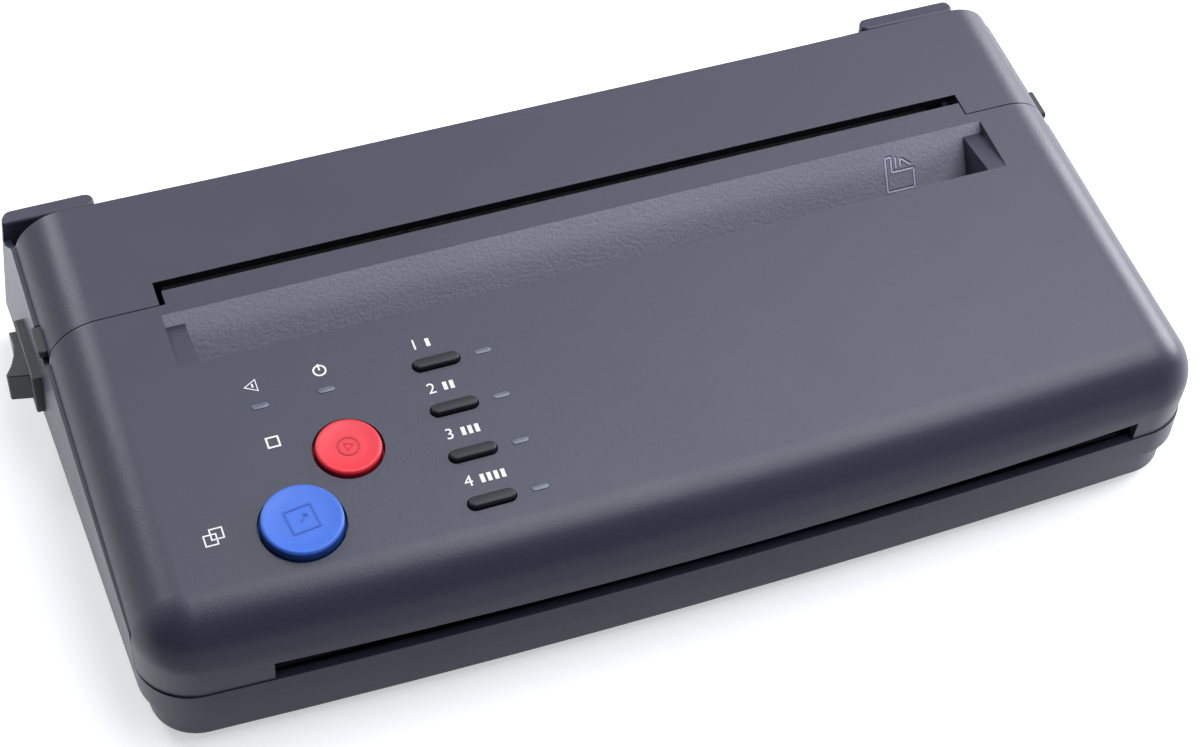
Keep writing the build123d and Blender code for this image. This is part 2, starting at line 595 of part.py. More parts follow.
# ---- deck the original runs over ----
DECK_TOP = PAPER_Z - 1.6
DECK_REAR = 9.8
tray = block(LEFT_PLATE + 1.0, RIGHT_PLATE - 1.0, -69.2, DECK_REAR, DECK_TOP - 1.4, DECK_TOP)
lip = block(LEFT_PLATE + 1.0, RIGHT_PLATE - 1.0, DECK_REAR - 1.4, DECK_REAR, DECK_TOP - 1.4, DECK_TOP + 3.2)
tray = tray + lip
tray = tray - block(RIGHT_PLATE - 22.0, RIGHT_PLATE, MOTOR_AT[0] - MOTOR_R - 1.2, 20, 15, 30)
for y in (-45.0, -17.0):
    tray = tray + block(LEFT_PLATE, RIGHT_PLATE, y, y + 6.0, DECK_TOP - 1.4, DECK_TOP)
for x in TYRE_SPOTS:
    for spot, radius in ((FEED_AT, FEED_R), (EXIT_AT, EXIT_R)):
        reach = math.sqrt(radius ** 2 - (DECK_TOP - 1.4 - spot[1]) ** 2) + 0.8
        window = block(x - TYRE_W / 2 - 1, x + TYRE_W / 2 + 1, spot[0] - reach, spot[0] + reach, 15, 30)
        tray = tray - window
reach = math.sqrt(SCAN_R ** 2 - (DECK_TOP - 1.4 - SCAN_AT[1]) ** 2) + 0.8
tray = tray - block(ROLL_X0 - 1, ROLL_X1 + 1, SCAN_AT[0] - reach, SCAN_AT[0] + reach, 15, 30)
for n in range(12):
    x = PATH_X - 99 + n * 18
    rib = block(x - 0.6, x + 0.6, -52, -35, DECK_TOP, DECK_TOP + 0.7)
    tray = tray + rib
save("document_deck", tray)

# ---- electronics in the base ----
board = block(-90, 50, 8.2, 33.0, 9.0, 10.6)
save("main_board", board)
chips = [
    block(-78, -58, 13, 25, 10.6, 13.2),
    block(-50, -36, 14, 24, 10.6, 12.6),
    block(-28, -18, 12, 28, 10.6, 14.0),
    block(-8, 8, 12, 18, 10.6, 16.6),
    block(14, 30, 12, 18, 10.6, 16.6),
    rod_z(10.6, 17.6, 18, 26, 3.2),
    rod_z(10.6, 17.6, 28, 26, 3.2),
    block(-6, 6, 22, 30, 10.6, 12.2),
]
save("main_board_chips", Compound(children=chips))
board = block(-97, 25, 51.5, 70.8, 9.0, 10.6)
save("power_board", board)
core = block(-40, -14, 53, 70, 10.6, 28)
core = core + block(-36, -18, 54.5, 68.5, 28, 29.5)
can_a = rod_z(10.6, 29, -60, 61, 7.0)
can_b = rod_z(10.6, 24, -4, 58, 4.0)
can_c = rod_z(10.6, 24, -4, 67, 3.5)
fin = block(8, 10, 53, 69, 10.6, 28)
choke = block(-88, -74, 54, 68, 10.6, 24)
save("power_board_parts", Compound(children=[core, can_a, can_b, can_c, fin, choke]))

shell = block(INLET_X - 11.7, INLET_X + 11.7, 56, BASE_REAR + 0.2, INLET_Z - 7.7, INLET_Z + 7.7)
shell = shell + block(INLET_X - 14, INLET_X + 14, BASE_REAR, BASE_REAR + 1.2, INLET_Z - 10, INLET_Z + 10)
shell = shell - block(INLET_X - 9.5, INLET_X + 9.5, 60, BASE_REAR + 5, INLET_Z - 5.5, INLET_Z + 5.5)
pins = [
    block(INLET_X - 6, INLET_X - 4, 54, 72, INLET_Z - 2, INLET_Z + 2),
    block(INLET_X + 4, INLET_X + 6, 54, 72, INLET_Z - 2, INLET_Z + 2),
    block(INLET_X - 1, INLET_X + 1, 54, 72, INLET_Z + 1, INLET_Z + 4.6),
]
save("inlet_pins", Compound(children=pins))
for pin in pins:
    shell = shell - pin
save("power_inlet", shell)

# ---- rocker switch ----
plate_x = SWITCH_SEAT - 1.5
well_l = ROCKER_L / 2 + 0.5
well = block(plate_x - 3, plate_x + 9, SWITCH_Y - well_l, SWITCH_Y + well_l, SWITCH_Z - 4.7, SWITCH_Z + 4.7)
bezel = block(
    plate_x - 1.6,
    SWITCH_SEAT,
    SWITCH_Y - SWITCH_L / 2,
    SWITCH_Y + SWITCH_L / 2,
    SWITCH_Z - SWITCH_H / 2,
    SWITCH_Z + SWITCH_H / 2,
)
bezel = fillet([e for e in bezel.edges() if e.center().X < plate_x - 1.5], 0.5)
case_l = SWITCH_L / 2 - 0.8
housing = block(SWITCH_SEAT, SWITCH_SEAT + 16.1, SWITCH_Y - case_l, SWITCH_Y + case_l, SWITCH_Z - 5.5, SWITCH_Z + 5.5)
body = housing + bezel - well
body = body - rod_z(SWITCH_Z - 5.15, SWITCH_Z + 5.15, plate_x + 2.0, SWITCH_Y, 1.25)
for y in (SWITCH_Y - 7, SWITCH_Y, SWITCH_Y + 7):
    body = body + block(SWITCH_SEAT + 16.1, SWITCH_SEAT + 22.1, y - 1.6, y + 1.6, SWITCH_Z - 0.4, SWITCH_Z + 0.4)
save("switch_housing", body)

# The rocker rests with its rear half pressed in.
rock = [
    (plate_x + 1.0, SWITCH_Y + ROCKER_L / 2 - 0.2),
    (plate_x - 3.4, SWITCH_Y + ROCKER_L / 2 + 0.3),
    (plate_x - 3.2, SWITCH_Y + 4.5),
    (plate_x - 3.8, SWITCH_Y + 1.0),
    (plate_x - 5.2, SWITCH_Y - 2.5),
    (plate_x - 7.0, SWITCH_Y - 5.2),
    (plate_x - 6.8, SWITCH_Y - 6.0),
    (plate_x + 0.6, SWITCH_Y - 7.6),
]
face = make_face(Polyline([(p[0], p[1], SWITCH_Z - 4.4) for p in rock], close=True))
body = extrude(face, amount=8.8, dir=(0, 0, 1))
body = body + rod_z(SWITCH_Z - 4.4, SWITCH_Z + 4.4, plate_x + 2.0, SWITCH_Y, 2.4)
body = body + block(plate_x - 1.0, plate_x + 2.0, SWITCH_Y - 3, SWITCH_Y + 3, SWITCH_Z - 4.4, SWITCH_Z + 4.4)
body = body + rod_z(SWITCH_Z - 5.05, SWITCH_Z + 5.05, plate_x + 2.0, SWITCH_Y, 1.2)
save("switch_rocker", body)

# ---- covers ----
OUTER = cover_body(0, 60)
INNER = cover_body(WALL, 60)
BACKED = cover_body(WALL - 0.6, 60)
shell = OUTER - INNER
THIN = 0.15

# Front cover: the part ahead of the joint, plus a tongue that fills most of
# the cut-out in the lid and leaves the stencil slot behind it.
ahead = block(-200, 200, -200, -THIN, -60, 10)
front = shell & ahead
tongue = block(SLOT_X - SLOT_HALF + 1.5, SLOT_X + SLOT_HALF - 0.4, -2.0, SLOT_V0, -WALL, 0)
slant = [
    (SLOT_V0 - 2.6, -WALL),
    (SLOT_V0, -WALL),
    (SLOT_V0 + 3.4, -9.0),
    (SLOT_V0 + 1.8, -9.0),
]
slant = slab_x(slant, SLOT_X - SLOT_HALF + 3.0, SLOT_X + SLOT_HALF - 3.0)
front = front + tongue + slant

# Recess for the original, with a steep floor and a ledge at each end.
x0 = FEED_X - FEED_HALF
x1 = FEED_X + FEED_HALF
run = math.tan(math.radians(FEED_SLOPE))
drop = 26.5
FLOOR_T = 2.0
back = FLOOR_T / math.sin(math.radians(FEED_SLOPE))
mouth = [
    (FEED_V0, 2.0),
    (FEED_V1 + 2.0 / run, 2.0),
    (FEED_V1 - 12.0 / run, -12.0),
    (FEED_V0, -12.0),
]
front = front - slab_x(mouth, x0, x1)
floor = [
    (FEED_V1 - 1.0 / run, -1.0),
    (FEED_V1 - drop / run, -drop),
    (FEED_V1 - drop / run + back, -drop),
    (FEED_V1 - 1.0 / run + back, -1.0),
]
front = front + slab_x(floor, x0 - 1.2, x1 + 1.2)
chin = [
    (FEED_V0 - 2.2, -1.0),
    (FEED_V0, -1.0),
    (FEED_V0, -3.0),
    (FEED_V0 - 1.6, -20.0),
    (FEED_V0 - 3.4, -20.0),
    (FEED_V0 - 2.2, -3.0),
]
front = front + slab_x(chin, x0 - 1.5, x1 + 1.5)
for near, far, wall_at in ((x0, x0 + GUIDE_W, x0 - 1.5), (x1, x1 - GUIDE_W, x1)):
    ledge = [
        (FEED_V1 - 2.8 / run, -2.8),
        (FEED_V0, -0.05),
        (FEED_V0, -20.0),
        (FEED_V1 - 20.0 / run, -20.0),
    ]
    front = front + slab_x(ledge, min(near, far), max(near, far))
    cheek = [
        (FEED_V1 + 1.0, -1.0),
        (FEED_V0 - 2.0, -1.0),
        (FEED_V0 - 2.0, -20.0),
        (FEED_V1 - 20.0 / run, -20.0),
    ]
    front = front + slab_x(cheek, wall_at, wall_at + 1.5)

# Cheeks inside the cover hold the scan module and the pinch rollers.
RIB_X = [CHEEK_X0, -6.0, 56.0, CHEEK_X1]
roof = -WALL + 0.5
for x in RIB_X:
    tall = [
        (at(-86, roof)[0], at(-86, roof)[1]),
        (at(-34, roof)[0], at(-34, roof)[1]),
        (at(-34, roof)[0], 36.0),
        (-37.5, 36.0),
        (-52.0, 25.0),
        (-62.5, 25.0),
        (at(-86, roof)[0], 31.0),
    ]
    cheek = slab_x(tall, x, x + CHEEK_T)
    cheek = cheek - rod_x(x - 1, x + CHEEK_T + 1, PINCH_AT, PINCH_SHAFT_R + SHAFT_FIT)
    front = front + LEAN.inverse() * cheek

# Bosses for the panel board, and the hinge arms.
BOARD_HOLES = [(-100.0, -32.0), (-31.5, -31.0), (-100.0, -84.0), (-31.5, -84.0), (-62.0, -72.0)]
for x, v in BOARD_HOLES:
    front = front + rod_z(BOARD_W, -WALL + 0.5, x, v, 2.6)
    front = front - rod_z(BOARD_W - 1, BOARD_W + 4, x, v, 1.0)

# Holes for keys, buttons and lamps.
for n in range(4):
    hole = pill(KEY_L + 2 * KEY_CLEAR, KEY_W + 2 * KEY_CLEAR, -5, 2)
    front = front - Pos(KEY_X, KEY_V - n * KEY_PITCH, 0) * hole
for x, v in LED_SPOTS:
    front = front - Pos(x, v, 0) * pill(4.4, 1.8, -5, 2)
front = front - rod_z(-5, 2, STOP_AT[0], STOP_AT[1], STOP_R + BUTTON_CLEAR)
front = front - rod_z(-5, 2, START_AT[0], START_AT[1], START_R + BUTTON_CLEAR)

# Lower edges: sloping along the sides, level across the front.
held = LEAN * (front & block(-COVER_HALF + 2.5, COVER_HALF - 2.5, EAR_V - 6, 20, -60, SIDE_SEAM + 0.5))
held = held & block(-200, 200, ear_y - GAP - 0.5, 60, -50, 100)
under = LEAN * block(-200, 200, EAR_V - 6, 20, -60, SIDE_SEAM)
under = under & block(-200, 200, ear_y - GAP, 60, -50, 100)
front = LEAN * front - under + held
front = front - block(-200, 200, -200, ear_y - GAP, -50, FRONT_SEAM)
front = front - block(-200, 200, ear_y - GAP, 60, -50, 20)

# Front slot cut in the lower edge, lower in the middle than at its ends.
arch_l = (EXIT_X - EXIT_HALF, FRONT_SEAM + EXIT_END_H)
arch_m = (EXIT_X, FRONT_SEAM + EXIT_MID_H)
arch_r = (EXIT_X + EXIT_HALF, FRONT_SEAM + EXIT_END_H)
arch_face = make_face(
    [
        ThreePointArc((arch_l[0], -90, arch_l[1]), (arch_m[0], -90, arch_m[1]), (arch_r[0], -90, arch_r[1])),
        Line((arch_r[0], -90, arch_r[1]), (arch_r[0], -90, 10)),
        Line((arch_r[0], -90, 10), (arch_l[0], -90, 10)),
        Line((arch_l[0], -90, 10), (arch_l[0], -90, arch_l[1])),
    ]
)
front = front - extrude(arch_face, amount=24, dir=(0, 1, 0))

for side in (-1, 1):
    xa = side * ARM_X if side > 0 else side * ARM_X - ARM_T
    ring = rod_x(xa, xa + ARM_T, FRONT_AXIS, ARM_R1) - rod_x(xa - 1, xa + ARM_T + 1, FRONT_AXIS, ARM_R0)
    arm = ring & wedge(FRONT_AXIS, ARM_LOW, 40, xa - 1, xa + ARM_T + 1)
    arm = arm & block(xa - 1, xa + ARM_T + 1, -90, -50, 0, FRONT_AXIS[1] + 9.5)
    root = block(xa, xa + ARM_T, FRONT_AXIS[0] + 17.0, FRONT_AXIS[0] + 21.0, FRONT_AXIS[1] + 6.5, 46)
    front = front + arm + (root & LEAN * BACKED)

# Catches for the latch sliders: one on each side of each cover.
for side in (-1, 1):
    tab = block(COVER_HALF - 6.7, COVER_HALF - 5.0, -5.5, -3.5, -14.2, -3.0)
    nose = block(COVER_HALF - 6.7, COVER_HALF - 5.0, -3.6, -1.0, -14.2, -12.3)
    if side < 0:
        tab = mirror(tab, about=Plane.YZ)
        nose = mirror(nose, about=Plane.YZ)
    piece = (tab + nose) & BACKED
    front = front + LEAN * piece
front = front - lever_right - lever_left
save("front_cover", front)

behind = block(-200, 200, THIN, 60, SIDE_SEAM, 10)
lid = shell & behind
lid = lid - block(SLOT_X - SLOT_HALF, SLOT_X + SLOT_HALF, -1, SLOT_V1, -10, 2)
fence = [
    (SLOT_V1, -1.0),
    (SLOT_V1 + 2.2, -1.0),
    (SLOT_V1 + 7.4, -9.4),
    (SLOT_V1 + 5.6, -9.4),
    (SLOT_V1, -2.0),
]
lid = lid + slab_x(fence, SLOT_X - SLOT_HALF + 2.0, SLOT_X + SLOT_HALF - 2.0)
for x in (-90.0, 2.0, 94.0):
    lid = lid + block(x - 1, x + 1, SLOT_V1 + 1, LID_REAR - LID_DISH - 1.5, -3.4, -WALL + 0.5)
for side in (-1, 1):
    tab = block(COVER_HALF - 6.7, COVER_HALF - 5.0, 4.5, 7.0, -14.2, -3.0)
    nose = block(COVER_HALF - 6.7, COVER_HALF - 5.0, 6.9, 9.3, -14.2, -12.3)
    if side < 0:
        tab = mirror(tab, about=Plane.YZ)
        nose = mirror(nose, about=Plane.YZ)
    lid = lid + ((tab + nose) & BACKED)
lid = LEAN * lid

# Posts that hold the head in the lid, and the ears on the hinge pins.
HEAD_X0 = PATH_X - 107.0
HEAD_X1 = PATH_X + 107.0
HEAD_Z = PLATEN_AT[1] + PLATEN_R + ROLL_GAP
roof_z = at(PLATEN_AT[0] - SEAM_Y, -WALL)[1]
for side in (-1, 1):
    x0 = HEAD_X0 - 2.6 if side < 0 else HEAD_X1 + 0.4
    post = block(x0, x0 + 2.2, PLATEN_AT[0] - 5, PLATEN_AT[0] + 5, HEAD_Z + 0.3, roof_z + 0.6)
    hook_x = HEAD_X0 - 2.6 if side < 0 else HEAD_X1 - 0.8
    hook = block(hook_x, hook_x + 3.4, PLATEN_AT[0] - 2.5, PLATEN_AT[0] + 2.5, HEAD_Z + 0.3, HEAD_Z + 1.0)
    lid = lid + post + hook
for side in (-1, 1):
    x0 = LID_EAR_X if side > 0 else -LID_EAR_X - LID_EAR_T
    ear = slab_x(
        [
            (at(LID_REAR - 3.0, 0)[0], 44.0),
            (at(LID_REAR - 3.0, 0)[0], 49.5),
            (at(LID_REAR, 0)[0] + 0.6, 49.5),
            (LID_AXIS[0] + 1.2, LID_AXIS[1] + 2.4),
            (LID_AXIS[0] - 2.4, LID_AXIS[1] - 2.4),
        ],
        x0,
        x0 + LID_EAR_T,
    )
    ear = ear + rod_x(x0, x0 + LID_EAR_T, LID_AXIS, 3.4)
    lid = lid + ear
    lid = lid - rod_x(x0 - 1, x0 + LID_EAR_T + 1, LID_AXIS, LID_PIN_R + SHAFT_FIT)
lid = lid - lever_right - lever_left
save("rear_lid", lid)

pins = []
for side in (-1, 1):
    x0 = LID_EAR_X - 3.4 if side > 0 else -LID_EAR_X - 6.6
    pins.append(rod_x(x0, x0 + 10.0, LID_AXIS, LID_PIN_R))
save("lid_hinge_pins", Compound(children=pins))

# ---- thermal head in the lid ----
strip = block(HEAD_X0 + 1, HEAD_X1 - 1, PLATEN_AT[0] - 3.5, PLATEN_AT[0] + 3.5, HEAD_Z, HEAD_Z + 1.3)
save("head_strip", strip)
sink = block(HEAD_X0, HEAD_X1, PLATEN_AT[0] - 3.7, PLATEN_AT[0] + 6, HEAD_Z + 1.3, HEAD_Z + 4.3)
for y in (PLATEN_AT[0] - 3.7, PLATEN_AT[0] - 0.8, PLATEN_AT[0] + 2.1, PLATEN_AT[0] + 5.0):
    sink = sink + block(HEAD_X0 + 12, HEAD_X1 - 12, y, y + 1.0, HEAD_Z + 4.3, HEAD_Z + 6.8)
HEAD_SPRING_X = [PATH_X - 101, PATH_X, PATH_X + 101]
for x in HEAD_SPRING_X:
    sink = sink - block(x - 4, x + 4, PLATEN_AT[0] - 5.5, PLATEN_AT[0] + 6.5, HEAD_Z + 4.3, HEAD_Z + 9)
save("head_sink", sink)
springs = []
spring_top = at(PLATEN_AT[0] + 0.5 - SEAM_Y, -WALL)[1]
for x in HEAD_SPRING_X:
    base_z = HEAD_Z + 4.3
    roof_here = spring_top - 0.25
    if x == PATH_X:
        roof_here = spring_top - 1.45
    springs.append(Pos(x, PLATEN_AT[0] + 0.5, base_z) * coil(2.4, 0.6, roof_here - base_z, 4))
save("head_springs", Compound(children=springs))

# ---- separation pad over the feed roller ----
holder = block(PATH_X - 16, PATH_X + 16, -6.5, 1.0, 25.4, 27.2)
holder = holder + block(PATH_X - 16, PATH_X + 16, -1.2, 1.0, 25.4, 31.5)
holder = holder - front
save("pad_holder", holder)
save("separation_pad", block(PATH_X - 12, PATH_X + 12, -6.0, 0.6, PAPER_Z + ROLL_GAP, 25.4))

# ---- scan module ----
module = block(PATH_X - 111.3, PATH_X + 111.3, -37.0, -19.0, PAPER_Z + 1.2, 36.0)
module = module - block(PATH_X - 110.3, PATH_X + 110.3, -35.5, -20.5, 20, PAPER_Z + 2.4)
module = module - block(PATH_X - 109.3, PATH_X + 109.3, -33.5, -22.5, 20, 33.5)
save("scan_module", module)
glass = block(PATH_X - 110.3, PATH_X + 110.3, -35.5, -20.5, PAPER_Z + ROLL_GAP, PAPER_Z + 2.4)
save("scan_glass", glass)

# ---- panel board, tact switches and lamps ----
board = block(-104.6, -27.5, -87.0, -28.0, BOARD_W - 1.6, BOARD_W)
for x, v in BOARD_HOLES:
    board = board - rod_z(BOARD_W - 3, BOARD_W + 1, x, v, 1.25)
save("panel_board", LEAN * board)
PLUNGER_TOP = -6.6
tacts = []
SPOTS = [(KEY_X, KEY_V - n * KEY_PITCH) for n in range(4)] + [STOP_AT, START_AT]
for x, v in SPOTS:
    tacts.append(rod_z(BOARD_W, BOARD_W + 0.9, x, v, 1.8) + rod_z(BOARD_W, PLUNGER_TOP, x, v, 1.2))
for x, v in LED_SPOTS:
    tacts.append(block(x - 1.4, x + 1.4, v - 0.8, v + 0.8, BOARD_W, BOARD_W + 1.0))
tacts.append(block(-60, -44, -34, -30, BOARD_W - 5.0, BOARD_W - 1.6))
save("panel_board_parts", LEAN * Compound(children=tacts))
lenses = []
for x, v in LED_SPOTS:
    lens = pill(4.3, 1.7, -WALL - 0.4, 0.05)
    rim = pill(6.0, 3.2, -WALL - 1.2, -WALL)
    leg = pill(3.0, 1.4, BOARD_W + 1.3, -WALL - 1.0)
    lenses.append(Pos(x, v, 0) * (lens + rim + leg))
save("lamp_lenses", LEAN * Compound(children=lenses))
screws = []
for x, v in BOARD_HOLES:
    screws.append(Pos(x, v, BOARD_W - 1.6) * Rot(180, 0, 0) * screw(5.0, 0.95, 2.2, 1.2))
save("panel_screws", LEAN * Compound(children=screws))


def button(radius, face_r, up, spot):
    """A round push button with a dished top, a flange and a stem."""
    body = rod_z(-4.0, up, spot[0], spot[1], radius)
    rim = [e for e in body.edges() if e.center().Z > up - 0.01]
    body = chamfer(rim, up * 0.45, radius - face_r)
    dish_r = 60.0
    dish = Pos(spot[0], spot[1], up + dish_r - 0.45) * Sphere(dish_r)
    body = body - dish
    body = body - rod_z(-5, up - 2.0, spot[0], spot[1], radius - 1.6)
    flange = rod_z(-4.2, -3.0, spot[0], spot[1], radius + 1.4)
    flange = flange - rod_z(-5, 0, spot[0], spot[1], radius - 1.6)
    stem = rod_z(PLUNGER_TOP + BUTTON_TRAVEL + 0.1, up - 1.9, spot[0], spot[1], 1.8)
    web = block(spot[0] - radius + 1, spot[0] + radius - 1, spot[1] - 0.6, spot[1] + 0.6, -2.0, up - 1.9)
    return body + flange + stem + web


stop = button(STOP_R, STOP_R - 0.7, STOP_UP, STOP_AT)
save("stop_button", LEAN * stop)
start = button(START_R, START_R - 0.6, START_UP, START_AT)
save("start_button", LEAN * start)
for n in range(4):
    v = KEY_V - n * KEY_PITCH
    cap = pill(KEY_L, KEY_W, -3.4, KEY_UP)
    cap = fillet([e for e in cap.edges() if e.center().Z > KEY_UP - 0.01], 0.7)
    flange = pill(KEY_L + 2.4, KEY_W + 2.4, -4.2, -3.0)
    stem = rod_z(PLUNGER_TOP + BUTTON_TRAVEL + 0.1, -4.0, 0, 0, 1.2)
    save("mode_key_" + str(n + 1), LEAN * (Pos(KEY_X, v, 0) * (cap + flange + stem)))
springs = []
for x, v in (STOP_AT, START_AT):
    springs.append(Pos(x, v, BOARD_W) * coil(3.4, 0.5, -2.0 - BOARD_W, 3))
for n in range(4):
    springs.append(Pos(KEY_X, KEY_V - n * KEY_PITCH, BOARD_W) * coil(2.4, 0.5, -4.2 - BOARD_W, 3))
save("button_springs", LEAN * Compound(children=springs))

# ---- latch sliders, shown released; they lock both covers when pushed forward ----
for name, side in (("left", -1), ("right", 1)):
    face = COVER_HALF - 4.5
    plate = block(face, face + 1.6, -12.0, 14.5, -18.3, -12.9)
    plate = plate + block(face, face + 1.3, -12.0, 14.5, -13.0, -9.9)
    neck = block(face, face + 3.5, lever_mid - 2.0, lever_mid + 4.0, LEVER_W - 1.2, LEVER_W + 1.1)
    grip_l = LEVER_V1 - LEVER_V0 - LEVER_TRAVEL - 2 * LEVER_CLEAR
    grip = extrude(Plane.YZ * SlotOverall(grip_l, LEVER_H - 2 * LEVER_CLEAR), amount=2.0 + LEVER_OUT)
    grip = fillet([e for e in grip.edges() if e.center().X > 2.0 + LEVER_OUT - 0.01], 0.5)
    grip = Pos(face + 2.5, LEVER_V1 - LEVER_CLEAR - grip_l / 2, LEVER_W) * grip
    lid_hook = block(face - 2.2, face + 0.1, 9.9, 13.0, -11.9, -9.9)
    cover_hook = block(face - 2.2, face + 0.1, -0.4, 2.9, -11.9, -9.9)
    slider = plate + neck + grip + lid_hook + cover_hook
    if side < 0:
        slider = mirror(slider, about=Plane.YZ)
    save("latch_slider_" + name, LEAN * slider)
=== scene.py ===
"""Covers, keys, lamps and finishes of a tabletop stencil copier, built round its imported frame."""

import json
import math

import bpy
from mathutils import Matrix, Vector

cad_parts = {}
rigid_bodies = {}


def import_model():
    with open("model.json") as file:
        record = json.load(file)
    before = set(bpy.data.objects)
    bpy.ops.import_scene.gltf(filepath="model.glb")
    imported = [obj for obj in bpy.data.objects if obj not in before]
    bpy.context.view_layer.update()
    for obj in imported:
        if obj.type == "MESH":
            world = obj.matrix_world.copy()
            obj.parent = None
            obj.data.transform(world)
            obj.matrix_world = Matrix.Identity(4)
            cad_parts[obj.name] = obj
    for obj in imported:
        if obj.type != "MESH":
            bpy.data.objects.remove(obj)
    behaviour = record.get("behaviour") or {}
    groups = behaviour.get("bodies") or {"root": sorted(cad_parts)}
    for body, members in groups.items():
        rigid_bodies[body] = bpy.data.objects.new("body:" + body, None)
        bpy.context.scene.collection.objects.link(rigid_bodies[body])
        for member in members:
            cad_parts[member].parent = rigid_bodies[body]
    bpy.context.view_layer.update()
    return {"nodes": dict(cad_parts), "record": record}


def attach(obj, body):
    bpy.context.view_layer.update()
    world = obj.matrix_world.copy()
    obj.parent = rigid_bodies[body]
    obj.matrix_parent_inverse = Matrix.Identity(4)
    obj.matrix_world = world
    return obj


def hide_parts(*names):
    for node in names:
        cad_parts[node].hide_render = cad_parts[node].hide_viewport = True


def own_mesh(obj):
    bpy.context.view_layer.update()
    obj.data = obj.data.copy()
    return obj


bl_info = {
    "name": "Stencil copier",
    "version": (1, 0, 0),
    "blender": (4, 5, 0),
    "location": "View3D > Sidebar > Copier",
    "description": "Covers, keys, lamps and finishes of a tabletop stencil copier",
    "category": "Object",
}

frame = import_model()

# The top surface leans forward about the joint between the two covers.
LEAN = math.radians(4.5)
MIDDLE_X = 0.0028
SEAM = Vector((MIDDLE_X, 0.022, 0.051))
LEANED = Matrix.Translation(SEAM) @ Matrix.Rotation(LEAN, 4, "X")
OUTWARD = LEANED.to_3x3() @ Vector((0.0, 0.0, 1.0))
MM = 0.001

# Places on the leaned top in millimetres: to the right of the middle, then behind the joint.
STOP_SPOT = (-75.9, -54.6)
START_SPOT = (-92.1, -71.8)
KEY_SPOT = (-48.4, -36.5)
KEY_LAMP_X = -36.6
POWER_LAMP_SPOT = (-75.9, -36.5)
ERROR_LAMP_SPOT = (-92.2, -36.5)
FIGURE_X = -52.0
TICK_X = -48.6
TICK_PITCH = 1.7
FIGURE_ROWS = (-30.1, -43.9, -57.9, -72.1)
POWER_SIGN_SPOT = (-75.9, -30.6)
ERROR_SIGN_SPOT = (-92.4, -30.0)
SINGLE_SIGN_SPOT = (-92.2, -47.5)
DOUBLE_SIGN_SPOT = (-112.4, -69.1)
RECESS_EDGE = -3.2
RECESS_SLOPE = math.radians(57.0)

# Range of the recess floor from front to rear, in metres.
RECESS_FRONT, RECESS_REAR = -0.004, 0.023

# Box of the slot throat on the leaned top, in metres.
SLOT_HALF_LENGTH = 0.1115
SLOT_FRONT, SLOT_REAR = 0.0038, 0.0078
SLOT_FLOOR, SLOT_LIP = -0.012, -0.0003

# Bars of the page sign: length, place across and distance down the slope in millimetres,
# turn in degrees.
PAGE_SIGN = (
    (9.8, 85.1, 8.9, 90.0),
    (8.2, 89.05, 13.6, 0.0),
    (5.4, 93.0, 11.0, 90.0),
    (6.6, 89.8, 8.4, 0.0),
    (4.3, 86.7, 6.35, 90.0),
    (1.9, 85.9, 4.2, 0.0),
    (2.8, 88.0, 5.9, 90.0),
    (2.3, 89.3, 6.2, 90.0),
    (3.2, 90.9, 6.2, -39.0),
)

# Camera place in metres, turn in degrees, focal length in millimetres.
CAMERA_SPOT = (MIDDLE_X - 0.171688, -0.409128, 0.517242)
CAMERA_TURN = (41.17342, -2.14577, -20.39073)
CAMERA_FOCAL = 77.57

# Lights: name, place, width and height in metres, power in watts.
LIGHT_AIM = Vector((0.0, 0.0, 0.04))
LIGHT_COLOUR = (0.92, 0.94, 1.0)
LIGHTS = (
    ("overhead softbox", (0.46, 0.06, 1.25), 1.2, 1.0, 16.5),
    ("right panel", (1.35, 0.35, 0.45), 0.9, 0.6, 18.0),
    ("rear left panel", (-0.55, 0.95, 0.95), 0.6, 0.35, 7.0),
    ("front right panel", (0.95, -1.3, 0.55), 1.1, 0.5, 5.5),
)
UNREFLECTED_LIGHT = "front right panel"
SEEN_RAYS = ("Is Camera Ray", "Is Glossy Ray", "Is Transmission Ray")


# ---------------------------------------------------------------- shader maths


class Flow:
    """A shader socket that can be added, scaled and compared like a number."""

    def __init__(self, sheet, socket):
        self.sheet = sheet
        self.socket = socket

    def _math(self, operation, *values):
        return self.sheet.add("ShaderNodeMath", {"operation": operation}, *values)

    def __add__(self, other):
        return self._math("ADD", self, other)

    __radd__ = __add__

    def __sub__(self, other):
        return self._math("SUBTRACT", self, other)

    def __rsub__(self, other):
        return self._math("SUBTRACT", other, self)

    def __mul__(self, other):
        return self._math("MULTIPLY", self, other)

    __rmul__ = __mul__

    def __gt__(self, other):
        return self._math("GREATER_THAN", self, other)

    def __lt__(self, other):
        return self._math("LESS_THAN", self, other)

    def part(self, axis):
        """One component of a vector."""
        node = self.sheet.raw("ShaderNodeSeparateXYZ", {}, self)
        return Flow(self.sheet, node.outputs[axis])

    def between(self, low, high):
        """0 under low, 1 over high, a straight ramp between."""
        return self.sheet.add("ShaderNodeMapRange", {"clamp": True}, self, low, high, 0.0, 1.0)


